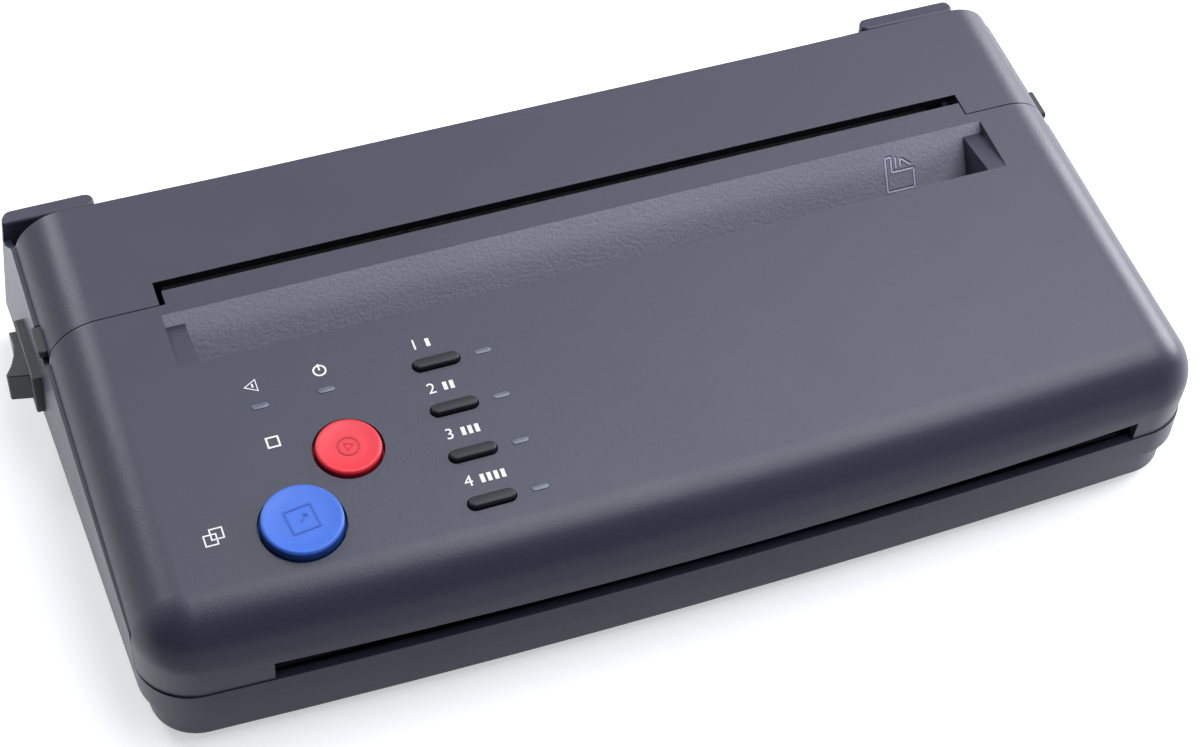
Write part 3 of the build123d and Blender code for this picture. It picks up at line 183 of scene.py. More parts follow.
class Sheet:
    """The node tree of one material, or of the world."""

    def __init__(self, name, world=False):
        self.owner = (bpy.data.worlds if world else bpy.data.materials).new(name)
        self.owner.use_nodes = True
        self.tree = self.owner.node_tree
        self.tree.nodes.clear()
        self.output = self.raw("ShaderNodeOutputWorld" if world else "ShaderNodeOutputMaterial", {})
        self.place = Flow(self, self.raw("ShaderNodeTexCoord", {}).outputs["Object"])

    def raw(self, kind, settings, *values, **named):
        """Adds a node: its settings first, then values or links for its sockets."""
        node = self.tree.nodes.new(kind)
        for key, value in settings.items():
            setattr(node, key, value)
        pairs = list(enumerate(values))
        pairs += [(key.replace("_", " "), value) for key, value in named.items()]
        for key, value in pairs:
            self.put(node.inputs[key], value)
        return node

    def put(self, socket, value):
        """Links a flow to a socket, or sets a plain value on it."""
        if isinstance(value, Flow):
            self.tree.links.new(value.socket, socket)
        else:
            socket.default_value = value

    def add(self, kind, settings, *values, output=0, **named):
        """Adds a node and gives one of its outputs."""
        return Flow(self, self.raw(kind, settings, *values, **named).outputs[output])

    def noise(self, scale, detail=2.0, rough=0.5, vector=None):
        """Cloudy noise from 0 to 1."""
        return self.add(
            "ShaderNodeTexNoise",
            {"noise_dimensions": "3D"},
            vector or self.place,
            Scale=scale,
            Detail=detail,
            Roughness=rough,
        )

    def cells(self, scale, output=0):
        """Distance to the nearest cell, or its random colour as output 1."""
        return self.add("ShaderNodeTexVoronoi", {}, self.place, output=output, Scale=scale)

    def stretch(self, x, y, z):
        """Object coordinates stretched along the axes."""
        return self.add("ShaderNodeMapping", {}, self.place, Scale=(x, y, z))

    def blend(self, amount, first, second, mode="MIX"):
        """Colour between two colours."""
        node = self.raw("ShaderNodeMix", {"data_type": "RGBA", "blend_type": mode})
        for index, value in ((0, amount), (6, first), (7, second)):
            self.put(node.inputs[index], value)
        return Flow(self, node.outputs[2])

    def bump(self, height, strength, distance):
        """Normal from a height."""
        return self.add("ShaderNodeBump", {}, Strength=strength, Distance=distance, Height=height)

    def principled(self, **named):
        """Principled surface with the named sockets set or linked."""
        return self.add("ShaderNodeBsdfPrincipled", {}, **named)

    def rays(self, *kinds):
        """1 or more for any of the named kinds of ray, 0 for the rest."""
        path = self.raw("ShaderNodeLightPath", {})
        total = Flow(self, path.outputs[kinds[0]])
        for kind in kinds[1:]:
            total = total + Flow(self, path.outputs[kind])
        return total

    def finish(self, shader):
        """Joins the shader to the output and gives the material or the world."""
        self.put(self.output.inputs["Surface"], shader)
        return self.owner


def rgb(colour, factor=1.0):
    """A colour with alpha, scaled."""
    return (colour[0] * factor, colour[1] * factor, colour[2] * factor, 1.0)


# ---------------------------------------------------------------- finishes


def moulded(name, colour, rough=0.5, grain=0.00004, grain_scale=2600.0, spread=0.08, specular=0.5):
    """Textured injection moulding with a soft change of tone and gloss."""
    sheet = Sheet(name)
    cloud = sheet.noise(9.0, 3.0, 0.55)
    fine = sheet.noise(grain_scale, 2.0, 0.6)
    handled = sheet.noise(38.0, 4.0, 0.6).between(0.42, 0.72)
    tone = cloud.between(0.3, 0.7)
    base = sheet.blend(tone, rgb(colour, 1.0 - spread), rgb(colour, 1.0 + spread))
    base = sheet.blend(fine.between(0.3, 0.75) * 0.35, base, rgb(colour, 0.72))
    normal = sheet.bump(fine, 0.55, grain)
    matt = rough + (handled - 0.5) * 0.05 + (fine - 0.5) * 0.06
    return sheet.finish(
        sheet.principled(
            Base_Color=base,
            Roughness=matt,
            Normal=normal,
            Specular_IOR_Level=specular,
        )
    )


def polished(name, colour, rough):
    """Smooth moulding with faint flow marks and fine scratches."""
    sheet = Sheet(name)
    cloud = sheet.noise(60.0, 3.0, 0.5).between(0.3, 0.7)
    scratch = sheet.noise(900.0, 4.0, 0.7, vector=sheet.stretch(1.0, 0.12, 0.12))
    base = sheet.blend(cloud, rgb(colour, 0.94), rgb(colour, 1.06))
    matt = rough + (scratch - 0.5) * 0.14
    normal = sheet.bump(scratch, 0.25, 0.00001)
    return sheet.finish(sheet.principled(Base_Color=base, Roughness=matt, Normal=normal))


def rubbery(name, colour):
    """Ground rubber with a dusty bloom."""
    sheet = Sheet(name)
    fine = sheet.noise(1800.0, 3.0, 0.65)
    bloom = sheet.noise(120.0, 4.0, 0.6).between(0.45, 0.75)
    dusty = rgb((colour[0] * 1.9, colour[1] * 1.85, colour[2] * 1.8))
    base = sheet.blend(bloom * 0.5, rgb(colour), dusty)
    normal = sheet.bump(fine, 0.6, 0.00004)
    matt = 0.78 + (fine - 0.5) * 0.1
    return sheet.finish(
        sheet.principled(Base_Color=base, Roughness=matt, Normal=normal, Specular_IOR_Level=0.3)
    )


def turned_steel(name, colour, rough=0.28):
    """Ground shaft steel: rings round X and a little staining."""
    sheet = Sheet(name)
    rings = sheet.noise(2400.0, 2.0, 0.5, vector=sheet.stretch(1.0, 0.02, 0.02))
    stain = sheet.noise(70.0, 4.0, 0.6).between(0.5, 0.8)
    base = sheet.blend(stain, rgb(colour), rgb(colour, 0.7))
    normal = sheet.bump(rings, 0.3, 0.00001)
    matt = rough + rings * 0.16 + stain * 0.1
    return sheet.finish(
        sheet.principled(Base_Color=base, Metallic=1.0, Roughness=matt, Normal=normal)
    )


def plated_sheet(name, colour, rough=0.38):
    """Plated sheet metal with spangle and rolling marks."""
    sheet = Sheet(name)
    spangle = sheet.cells(240.0)
    rolled = sheet.noise(700.0, 3.0, 0.6, vector=sheet.stretch(0.05, 0.08, 1.0))
    base = sheet.blend(spangle.between(0.1, 0.8), rgb(colour, 1.05), rgb(colour, 0.82))
    normal = sheet.bump(rolled, 0.2, 0.00002)
    matt = rough + rolled * 0.12
    return sheet.finish(
        sheet.principled(Base_Color=base, Metallic=1.0, Roughness=matt, Normal=normal)
    )


def lacquered_board(name, colour):
    """Printed circuit board: tracks and pads under a green lacquer."""
    sheet = Sheet(name)
    grid = sheet.add(
        "ShaderNodeTexBrick",
        {"offset": 0.5, "squash": 1.0},
        sheet.stretch(1.0, 1.0, 0.0),
        output=1,
        Scale=160.0,
        Mortar_Size=0.06,
        Mortar_Smooth=0.1,
    )
    patch = sheet.cells(90.0).between(0.25, 0.3)
    pads = 1.0 - sheet.cells(420.0).between(0.16, 0.22)
    tracks = grid * patch
    copper = rgb((colour[0] * 2.2 + 0.02, colour[1] * 1.7, colour[2] * 1.6))
    base = sheet.blend(tracks, rgb(colour), copper)
    base = sheet.blend(pads * (1.0 - patch), base, (0.55, 0.52, 0.42, 1.0))
    normal = sheet.bump(tracks + pads * 0.5, 0.35, 0.00004)
    return sheet.finish(
        sheet.principled(Base_Color=base, Roughness=0.34, Normal=normal, Coat_Weight=0.3)
    )


def component_black(name, colour):
    """Moulded component bodies with a matt, slightly mottled face."""
    sheet = Sheet(name)
    fine = sheet.noise(1500.0, 3.0, 0.6)
    mottle = sheet.cells(60.0, output=1)
    base = sheet.blend(0.015, rgb(colour), mottle, "SCREEN")
    base = sheet.blend(fine * 0.4, base, rgb(colour, 0.6))
    normal = sheet.bump(fine, 0.4, 0.00003)
    matt = 0.5 + (fine - 0.5) * 0.2
    return sheet.finish(sheet.principled(Base_Color=base, Roughness=matt, Normal=normal))


def window_glass(name, colour):
    """Clear glass strip with a faint smear."""
    sheet = Sheet(name)
    smear = sheet.noise(50.0, 4.0, 0.6).between(0.5, 0.8)
    matt = 0.05 + smear * 0.12
    cover = 0.42 + smear * 0.1
    return sheet.finish(
        sheet.principled(Base_Color=rgb(colour), Roughness=matt, Alpha=cover, IOR=1.5, Coat_Weight=0.4)
    )


def glazed(name, colour):
    """Glazed ceramic with a darker heating line along the middle."""
    sheet = Sheet(name)
    depth = sheet.place.part("Y")
    line = (depth > 0.0405) * (depth < 0.0435)
    speck = sheet.noise(800.0, 2.0, 0.5).between(0.55, 0.75)
    base = sheet.blend(line * 0.8, rgb(colour), (0.24, 0.16, 0.1, 1.0))
    base = sheet.blend(speck * 0.2, base, rgb(colour, 0.7))
    return sheet.finish(sheet.principled(Base_Color=base, Roughness=0.16 + speck * 0.1, Coat_Weight=0.5))


def nylon(name, colour):
    """Milky nylon with sprue haze."""
    sheet = Sheet(name)
    haze = sheet.noise(300.0, 3.0, 0.5)
    base = sheet.blend(haze.between(0.35, 0.7), rgb(colour, 0.9), rgb(colour, 1.04))
    normal = sheet.bump(haze, 0.2, 0.00003)
    matt = 0.42 + (haze - 0.5) * 0.15
    return sheet.finish(sheet.principled(Base_Color=base, Roughness=matt, Normal=normal))


def ink_and_relief_finish(name, colour):
    """Uneven matt finish of screen printed ink, also used for the raised button signs, whose darker
    colour is painted shade.
    """
    sheet = Sheet(name)
    grain = sheet.noise(3200.0, 3.0, 0.6)
    thin = grain.between(0.62, 0.8)
    base = sheet.blend(thin * 0.4, rgb(colour), rgb(colour, 0.6))
    normal = sheet.bump(grain, 0.3, 0.00001)
    matt = 0.55 + (grain - 0.5) * 0.2
    return sheet.finish(sheet.principled(Base_Color=base, Roughness=matt, Normal=normal))


def frosted_lens(name, colour):
    """Frosted lamp lens, unlit, with a cloudy change of tone."""
    sheet = Sheet(name)
    grain = sheet.noise(2600.0, 3.0, 0.6)
    glow = sheet.noise(500.0, 2.0, 0.5).between(0.3, 0.7)
    base = sheet.blend(glow, rgb(colour, 0.85), rgb(colour, 1.15))
    normal = sheet.bump(grain, 0.3, 0.00001)
    matt = 0.3 + (grain - 0.5) * 0.15
    return sheet.finish(
        sheet.principled(Base_Color=base, Roughness=matt, Normal=normal, Coat_Weight=0.2)
    )


FINISHES = {}


def button_moulding(name, colour):
    """Fine satin moulding of the round buttons."""
    return moulded(name, colour, rough=0.4, grain=0.00002, spread=0.04)


def make_finishes(colours):
    """One material for each finish, keyed by the record's slot names where there is one."""
    shell, recess = tuple(colours.shell), tuple(colours.recess)
    FINISHES["shell"] = moulded(
        "shell satin", shell, rough=0.38, grain=0.00008, grain_scale=1700.0, specular=0.44
    )
    # The recess colour is far paler than the shell: partly the spark texture's own paler tone, partly
    # painted light making up for the shade inside the recess.
    FINISHES["recess"] = moulded(
        "recess spark texture",
        recess,
        rough=0.62,
        grain=0.00035,
        grain_scale=1100.0,
        spread=0.1,
        specular=0.4,
    )
    # The page sign's ridges are painted paler than the recess as a painted highlight, and the bars
    # beside them darker as painted shade.
    FINISHES["page_ridge_highlight"] = moulded("page sign ridge", rgb(recess, 2.3), rough=0.5, grain=0.00002)
    FINISHES["page_shade"] = moulded("page sign shade", rgb(recess, 0.25), rough=0.6, grain=0.00002)
    # The slot throat is painted near black as painted shadow in the deep slot.
    FINISHES["slot"] = moulded("slot throat", (0.006, 0.006, 0.009), rough=0.6)
    FINISHES["inner_black"] = moulded("inner moulding", (0.014, 0.014, 0.019), rough=0.45)
    FINISHES["switch_black"] = polished("switch gloss", (0.013, 0.013, 0.02), 0.34)
    FINISHES["key_black"] = moulded(
        "key moulding", (0.009, 0.009, 0.014), rough=0.4, grain=0.00002, specular=0.3
    )
    FINISHES["rubber"] = rubbery("roller rubber", (0.03, 0.03, 0.031))
    FINISHES["steel"] = turned_steel("ground steel", (0.56, 0.56, 0.57))
    FINISHES["plate_steel"] = plated_sheet("plated side plate", (0.52, 0.53, 0.55))
    FINISHES["motor_can"] = plated_sheet("motor can", (0.33, 0.33, 0.35), 0.42)
    FINISHES["gear_nylon"] = nylon("gear nylon", (0.72, 0.7, 0.62))
    FINISHES["roller_white"] = nylon("roller white", (0.66, 0.66, 0.63))
    FINISHES["board_green"] = lacquered_board("circuit board", (0.008, 0.07, 0.03))
    FINISHES["chip_black"] = component_black("component black", (0.014, 0.014, 0.016))
    FINISHES["brass_pin"] = turned_steel("plated pin", (0.7, 0.52, 0.24), 0.24)
    FINISHES["ceramic_white"] = glazed("heating strip", (0.78, 0.78, 0.74))
    FINISHES["head_aluminium"] = plated_sheet("head aluminium", (0.66, 0.67, 0.69), 0.34)
    FINISHES["window_glass"] = window_glass("scan window", (0.55, 0.62, 0.62))
    FINISHES["lamp_lens"] = frosted_lens("lamp lens", tuple(colours.lamp))
    FINISHES["red_button"] = button_moulding("stop button red", tuple(colours.stop))
    FINISHES["blue_button"] = button_moulding("start button blue", tuple(colours.start))
    # The sides of the round buttons are darker copies of their colours: painted shade.
    FINISHES["stop_skirt"] = button_moulding("stop button side", rgb(colours.stop, 0.3))
    FINISHES["start_skirt"] = button_moulding("start button side", rgb(colours.start, 0.3))
    FINISHES["ink"] = ink_and_relief_finish("white ink", tuple(colours.ink))
    # The raised signs on the buttons are darker copies of the button colours: painted shade of the
    # relief.
    FINISHES["stop_sign"] = ink_and_relief_finish("stop sign relief", rgb(colours.stop, 0.62))
    FINISHES["start_sign"] = ink_and_relief_finish("start sign relief", rgb(colours.start, 0.72))


# ---------------------------------------------------------------- modelling helpers


def object_mode():
    """Leaves edit mode."""
    if bpy.context.object and bpy.context.object.mode != "OBJECT":
        bpy.ops.object.mode_set(mode="OBJECT")


def nothing_selected():
    """Deselects every object."""
    object_mode()
    bpy.ops.object.select_all(action="DESELECT")


def only(piece):
    """Selects one object and makes it active."""
    nothing_selected()
    piece.select_set(True)
    bpy.context.view_layer.objects.active = piece


def edit(piece):
    """Edit mode with every point selected."""
    only(piece)
    bpy.ops.object.mode_set(mode="EDIT")
    bpy.ops.mesh.select_mode(type="VERT")
    bpy.ops.mesh.select_all(action="SELECT")


def pick(piece, edges=None, points=None):
    """Selects the edges or the points of a piece that pass a test."""
    bpy.ops.mesh.select_mode(type="EDGE" if edges else "VERT")
    bpy.ops.mesh.select_all(action="DESELECT")
    bpy.ops.object.mode_set(mode="OBJECT")
    mesh = piece.data
    if edges:
        for line in mesh.edges:
            a, b = (mesh.vertices[i].co for i in line.vertices)
            line.select = bool(edges(a, b))
    if points:
        for point in mesh.vertices:
            point.select = bool(points(point.co))
    bpy.ops.object.mode_set(mode="EDIT")


def settle(piece, place=None):
    """Moves the piece to its place and writes that into its mesh."""
    object_mode()
    if place is not None:
        piece.matrix_world = place @ piece.matrix_world
    only(piece)
    bpy.ops.object.transform_apply(location=True, rotation=True, scale=True)
    return piece


def dress(piece, finish, body, nodes=()):
    """Finish, body and the frame nodes that the piece stands for."""
    piece.data.materials.clear()
    piece.data.materials.append(FINISHES[finish])
    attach(piece, body)
    if nodes:
        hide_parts(*nodes)
    return piece


def soften(piece, width, segments):
    """Rounds the sharp edges of a piece and applies the modifier."""
    only(piece)
    bevel = piece.modifiers.new("Edges", "BEVEL")
    bevel.width = width
    bevel.segments = segments
    bevel.limit_method = "ANGLE"
    bevel.angle_limit = math.radians(30.0)
    bevel.use_clamp_overlap = True
    bpy.ops.object.modifier_apply(modifier=bevel.name)
    bpy.ops.object.shade_smooth_by_angle(angle=math.radians(40.0))
    weigh = piece.modifiers.new("Normals", "WEIGHTED_NORMAL")
    weigh.weight = 90
    weigh.keep_sharp = True
    bpy.ops.object.modifier_apply(modifier=weigh.name)


def leaned(x, v, w=0.0):
    """Place of a point of the leaned top surface, x, v and w in millimetres."""
    return LEANED @ Matrix.Translation((x * MM, v * MM, w * MM))


def turned(name, rings):
    """A round piece made by drawing a ring up through radius and height pairs, in millimetres."""
    nothing_selected()
    radius, height = rings[0]
    bpy.ops.mesh.primitive_circle_add(
        vertices=96, radius=radius * MM, fill_type="NOTHING", location=(0.0, 0.0, height * MM)
    )
    piece = bpy.context.object
    piece.name = name
    bpy.ops.object.transform_apply(location=True)
    bpy.ops.object.mode_set(mode="EDIT")
    bpy.ops.mesh.select_mode(type="VERT")
    bpy.ops.mesh.select_all(action="SELECT")
    for next_radius, next_height in rings[1:]:
        rise = (next_height - height) * MM
        bpy.ops.mesh.extrude_region_move(TRANSFORM_OT_translate={"value": (0.0, 0.0, rise)})
        scale = next_radius / radius
        if abs(scale - 1.0) > 1e-6:
            middle = (0.0, 0.0, next_height * MM)
            bpy.ops.transform.resize(value=(scale, scale, 1.0), center_override=middle)
        radius, height = next_radius, next_height
    bpy.ops.mesh.merge(type="CENTER")
    bpy.ops.mesh.select_mode(type="EDGE")
    bpy.ops.mesh.select_all(action="DESELECT")
    bpy.ops.mesh.select_non_manifold()
    bpy.ops.mesh.edge_face_add()
    bpy.ops.mesh.select_all(action="SELECT")
    bpy.ops.mesh.normals_make_consistent(inside=False)
    object_mode()
    bpy.ops.object.shade_smooth_by_angle(angle=math.radians(35.0))
    return piece


def long_pill(name, length, width, low, high, round_off, steps, sides=32):
    """A long round-ended block with a rounded top edge, in millimetres."""
    nothing_selected()
    bpy.ops.mesh.primitive_cylinder_add(
        vertices=sides,
        radius=width / 2 * MM,
        depth=(high - low) * MM,
        location=(0.0, 0.0, (low + high) / 2 * MM),
        rotation=(0.0, 0.0, math.pi / sides),
    )
    piece = bpy.context.object
    piece.name = name
    bpy.ops.object.transform_apply(location=True, rotation=True)
    bpy.ops.object.mode_set(mode="EDIT")
    for side in (-1, 1):
        pick(piece, points=lambda co, s=side: co.x * s > 0)
        bpy.ops.transform.translate(value=(side * (length - width) / 2 * MM, 0.0, 0.0))
    pick(piece, edges=lambda a, b: a.z > (high - 0.01) * MM and b.z > (high - 0.01) * MM)
    bpy.ops.mesh.bevel(offset=round_off * MM, segments=steps, affect="EDGES")
    object_mode()
    bpy.ops.object.shade_smooth_by_angle(angle=math.radians(35.0))
    return piece


def reworked(node, name, edge, segments=2):
    """A welded copy of a frame node with its sharp edges rounded."""
    only(frame["nodes"][node])
    bpy.ops.object.duplicate()
    piece = bpy.context.object
    bpy.ops.object.parent_clear(type="CLEAR_KEEP_TRANSFORM")
    piece.name = name
    for key in list(piece.keys()):
        del piece[key]
    if piece.data.has_custom_normals:
        bpy.ops.mesh.customdata_custom_splitnormals_clear()
    edit(piece)
    bpy.ops.mesh.remove_doubles(threshold=0.000002)
    bpy.ops.mesh.dissolve_limited(angle_limit=math.radians(0.08))
    object_mode()
    if edge > 0:
        soften(piece, edge * MM, segments)
    else:
        bpy.ops.object.shade_smooth_by_angle(angle=math.radians(28.0))
    return piece


def joined(name, parts):
    """Several objects made into one piece."""
    nothing_selected()
    for part in parts:
        part.select_set(True)
    bpy.context.view_layer.objects.active = parts[0]
    if len(parts) > 1:
        bpy.ops.object.join()
    parts[0].name = name
    return parts[0]


def flat_text(words, size, x, v):
    """Printed characters lying on the leaned top, in millimetres."""
    nothing_selected()
    bpy.ops.object.text_add(location=(0.0, 0.0, 0.0))
    piece = bpy.context.object
    piece.data.body = words
    piece.data.size = size * MM
    piece.data.align_x = "CENTER"
    piece.data.align_y = "CENTER"
    piece.data.extrude = 0.01 * MM
    piece.data.resolution_u = 6
    bpy.ops.object.convert(target="MESH")
    return settle(bpy.context.object, leaned(x, v, 0.03))


def flat_ring(outer, inner, x, v, lift, thick=0.03, sides=48, turn=0.0):
    """A flat ring, or a square frame with four sides, lying on the leaned top."""
    nothing_selected()
    bpy.ops.mesh.primitive_circle_add(vertices=sides, radius=outer * MM, fill_type="NGON")
    piece = bpy.context.object
    bpy.ops.object.mode_set(mode="EDIT")
    bpy.ops.mesh.select_mode(type="FACE")
    bpy.ops.mesh.select_all(action="SELECT")
    share = math.cos(math.pi / sides)
    bpy.ops.mesh.inset(thickness=(outer - inner) * share * MM, depth=0.0)
    bpy.ops.mesh.delete(type="FACE")
    bpy.ops.mesh.select_all(action="SELECT")
    bpy.ops.mesh.extrude_region_move(TRANSFORM_OT_translate={"value": (0.0, 0.0, thick * MM)})
    bpy.ops.mesh.select_all(action="SELECT")
    bpy.ops.mesh.normals_make_consistent(inside=False)
    object_mode()
    piece.matrix_world = Matrix.Rotation(turn, 4, "Z")
    settle(piece)
    return settle(piece, leaned(x, v, lift))


def on_slope(x, down, lift=0.0):
    """Place on the steep floor of the recess, down from its upper edge, in millimetres."""
    edge = leaned(x, RECESS_EDGE) @ Matrix.Rotation(RECESS_SLOPE, 4, "X")
    return edge @ Matrix.Translation((0.0, -down * MM, lift * MM))


def flat_bar(length, width, x, v, lift, turn=0.0, thick=0.03, place=leaned):
    """A flat bar, printed or raised, lying on the leaned top, or elsewhere if a place is given."""
    nothing_selected()
    bpy.ops.mesh.primitive_cube_add(size=1.0)
    piece = bpy.context.object
    size = Matrix.Diagonal((length * MM, width * MM, thick * MM, 1.0))
    piece.matrix_world = Matrix.Rotation(turn, 4, "Z") @ size
    settle(piece)
    return settle(piece, place(x, v, lift + thick / 2))


# ---------------------------------------------------------------- sizes and colours


class CopierSizes(bpy.types.PropertyGroup):
    shell_edge: bpy.props.FloatProperty(
        name="Shell edges",
        description="Rounding of the moulded edges",
        subtype="DISTANCE",
        default=0.0003,
        min=0.0,
        max=0.001,
    )
    key_length: bpy.props.FloatProperty(
        name="Key length",
        description="Length of a mode key",
        subtype="DISTANCE",
        default=0.0115,
        min=0.008,
        max=0.014,
    )
    key_width: bpy.props.FloatProperty(
        name="Key width",
        description="Width of a mode key",
        subtype="DISTANCE",
        default=0.0033,
        min=0.002,
        max=0.005,
    )
    key_pitch: bpy.props.FloatProperty(
        name="Key pitch",
        description="Distance from key to key",
        subtype="DISTANCE",
        default=0.014,
        min=0.01,
        max=0.018,
    )
    stop_radius: bpy.props.FloatProperty(
        name="Stop button radius",
        description="Radius of the red button",
        subtype="DISTANCE",
        default=0.0081,
        min=0.006,
        max=0.01,
    )
    start_radius: bpy.props.FloatProperty(
        name="Start button radius",
        description="Radius of the blue button",
        subtype="DISTANCE",
        default=0.0099,
        min=0.008,
        max=0.012,
    )
    figure_height: bpy.props.FloatProperty(
        name="Figure height",
        description="Size of the printed figures",
        subtype="DISTANCE",
        default=0.0044,
        min=0.002,
        max=0.006,
    )


class CopierColours(bpy.types.PropertyGroup):
    shell: bpy.props.FloatVectorProperty(
        name="Shell",
        description="Colour of the covers and base",
        subtype="COLOR",
        size=3,
        default=(0.033, 0.0345, 0.058),
    )
    # The recess colour is partly the textured plastic's paler tone and partly painted light for the
    # shaded recess.
    recess: bpy.props.FloatVectorProperty(
        name="Recess",
        description="Colour of the textured recess",
        subtype="COLOR",
        size=3,
        default=(0.32, 0.325, 0.395),
    )
    stop: bpy.props.FloatVectorProperty(
        name="Stop",
        description="Colour of the stop button",
        subtype="COLOR",
        size=3,
        default=(0.74, 0.016, 0.035),
    )
    start: bpy.props.FloatVectorProperty(
        name="Start",
        description="Colour of the start button",
        subtype="COLOR",
        size=3,
        default=(0.026, 0.13, 0.6),
    )
    lamp: bpy.props.FloatVectorProperty(
        name="Lamps",
        description="Colour of the unlit lenses",
        subtype="COLOR",
        size=3,
        default=(0.085, 0.1, 0.14),
    )
    ink: bpy.props.FloatVectorProperty(
        name="Ink",
        description="Colour of the printed signs",
        subtype="COLOR",
        size=3,
        default=(0.78, 0.78, 0.8),
    )


# ---------------------------------------------------------------- operators


class COPIER_OT_finishes(bpy.types.Operator):
    """Makes the finishes and gives each frame node its own"""

    bl_idname = "copier.finishes"
    bl_label = "Finishes"

    def execute(self, context):
        make_finishes(context.scene.copier_colours)
        slots = {row["node"]: row["material_slot"] for row in frame["record"]["subparts"]}
        for name, node in frame["nodes"].items():
            node.data.materials.clear()
            node.data.materials.append(FINISHES[slots[name]])
        return {"FINISHED"}


class COPIER_OT_shells(bpy.types.Operator):
    """Base shell, front cover and rear lid with rounded moulded edges"""

    bl_idname = "copier.shells"
    bl_label = "Shells"

    def execute(self, context):
        edge = context.scene.copier_sizes.shell_edge / MM
        for node, name, body in (
            ("base_tub", "base_shell", "base"),
            ("rear_block_caps", "rear_caps", "base"),
            ("front_cover", "front_cover_shell", "front_cover"),
            ("rear_lid", "rear_lid_shell", "rear_lid"),
        ):
            piece = reworked(node, name, edge)
            dress(piece, "shell", body, [node])
        cover = bpy.data.objects["front_cover_shell"]
        # The steep recess floor takes the pale recess colour, which is partly painted light.
        cover.data.materials.append(FINISHES["recess"])
        slope = RECESS_SLOPE + LEAN
        facing = Vector((0.0, -math.sin(slope), math.cos(slope)))
        for face in cover.data.polygons:
            middle = face.center
            if face.normal.dot(facing) > 0.995 and RECESS_FRONT < middle.y < RECESS_REAR:
                face.material_index = 1
        # Faces inside the paper slot take the near black throat colour: painted shadow.
        for name in ("front_cover_shell", "rear_lid_shell"):
            piece = bpy.data.objects[name]
            piece.data.materials.append(FINISHES["slot"])
            dark = len(piece.data.materials) - 1
            for face in piece.data.polygons:
                if self.in_slot(face.center):
                    face.material_index = dark
        return {"FINISHED"}

    @staticmethod
    def in_slot(point):
        """Whether a point lies on the throat of the paper slot."""
        x, v, w = LEANED.inverted() @ point
        return abs(x) < SLOT_HALF_LENGTH and SLOT_FRONT < v < SLOT_REAR and SLOT_FLOOR < w < SLOT_LIP


class COPIER_OT_round_buttons(bpy.types.Operator):
    """Red stop button and blue start button with dished faces"""

    bl_idname = "copier.round_buttons"
    bl_label = "Round buttons"

    def execute(self, context):
        sizes = context.scene.copier_sizes
        for kind, radius, up, (x, v), finish in (
            ("stop", sizes.stop_radius / MM, 1.3, STOP_SPOT, "red_button"),
            ("start", sizes.start_radius / MM, 2.5, START_SPOT, "blue_button"),
        ):
            body = kind + "_button"
            # Radius and height, from the flange under the panel up over the rim to the dished middle.
            rings = [
                (radius - 2.2, -4.2),
                (radius + 1.4, -4.2),
                (radius + 1.4, -3.0),
                (radius, -2.9),
                (radius - 0.04, 0.0),
                (radius - 0.22, up - 0.62),
                (radius - 0.34, up - 0.3),
                (radius - 0.52, up - 0.1),
                (radius - 0.78, up),
                (radius - 1.1, up - 0.02),
                (radius - 1.9, up - 0.12),
                (radius * 0.62, up - 0.26),
                (radius * 0.5, up - 0.28),
                (0.4, up - 0.28),
            ]
            piece = turned(body + "_cap", rings)
            settle(piece, leaned(x, v))
            dress(piece, finish, body, [body])
            # Faces turned away from the top take the darker side colour, painted shade on the button
            # sides.
            piece.data.materials.append(FINISHES[kind + "_skirt"])
            for face in piece.data.polygons:
                if face.normal.dot(OUTWARD) < 0.3:
                    face.material_index = 1
            floor = up - 0.28
            if kind == "stop":
                marks = [
                    flat_ring(2.75, 2.25, x, v, floor, thick=0.12),
                    flat_ring(1.5, 1.05, x, v, floor, thick=0.12, sides=3, turn=0.7),
                ]
            else:
                square, shaft, barb = (math.radians(turn) for turn in (52.0, 48.0, -40.0))
                marks = [
                    flat_ring(5.0, 4.3, x, v, floor, thick=0.14, sides=4, turn=square),
                    flat_bar(2.6, 0.45, x + 0.5, v + 0.3, floor, turn=shaft, thick=0.14),
                    flat_bar(1.3, 0.45, x + 1.0, v + 0.9, floor, turn=barb, thick=0.14),
                ]
            # The signs take the darker copy of the button colour as painted shade.
            dress(joined(body + "_sign", marks), kind + "_sign", body)
        return {"FINISHED"}


class COPIER_OT_mode_keys(bpy.types.Operator):
    """Four long keys with rounded tops"""

    bl_idname = "copier.mode_keys"
    bl_label = "Mode keys"

    def execute(self, context):
        sizes = context.scene.copier_sizes
        length, width = sizes.key_length / MM, sizes.key_width / MM
        pitch = sizes.key_pitch / MM
        model = long_pill("key_model", length, width, low=-3.4, high=1.2, round_off=0.75, steps=5)
        collar = long_pill(
            "key_collar", length + 2.4, width + 2.4, low=-4.2, high=-3.0, round_off=0.2, steps=2
        )
        model = joined("key_model", [model, collar])
        for number in range(4):
            only(model)
            bpy.ops.object.duplicate()
            piece = bpy.context.object
            piece.name = "mode_key_%d_cap" % (number + 1)
            settle(piece, leaned(KEY_SPOT[0], KEY_SPOT[1] - number * pitch))
            body = "mode_key_%d" % (number + 1)
            dress(piece, "key_black", body, [body])
        bpy.data.objects.remove(model)
        return {"FINISHED"}


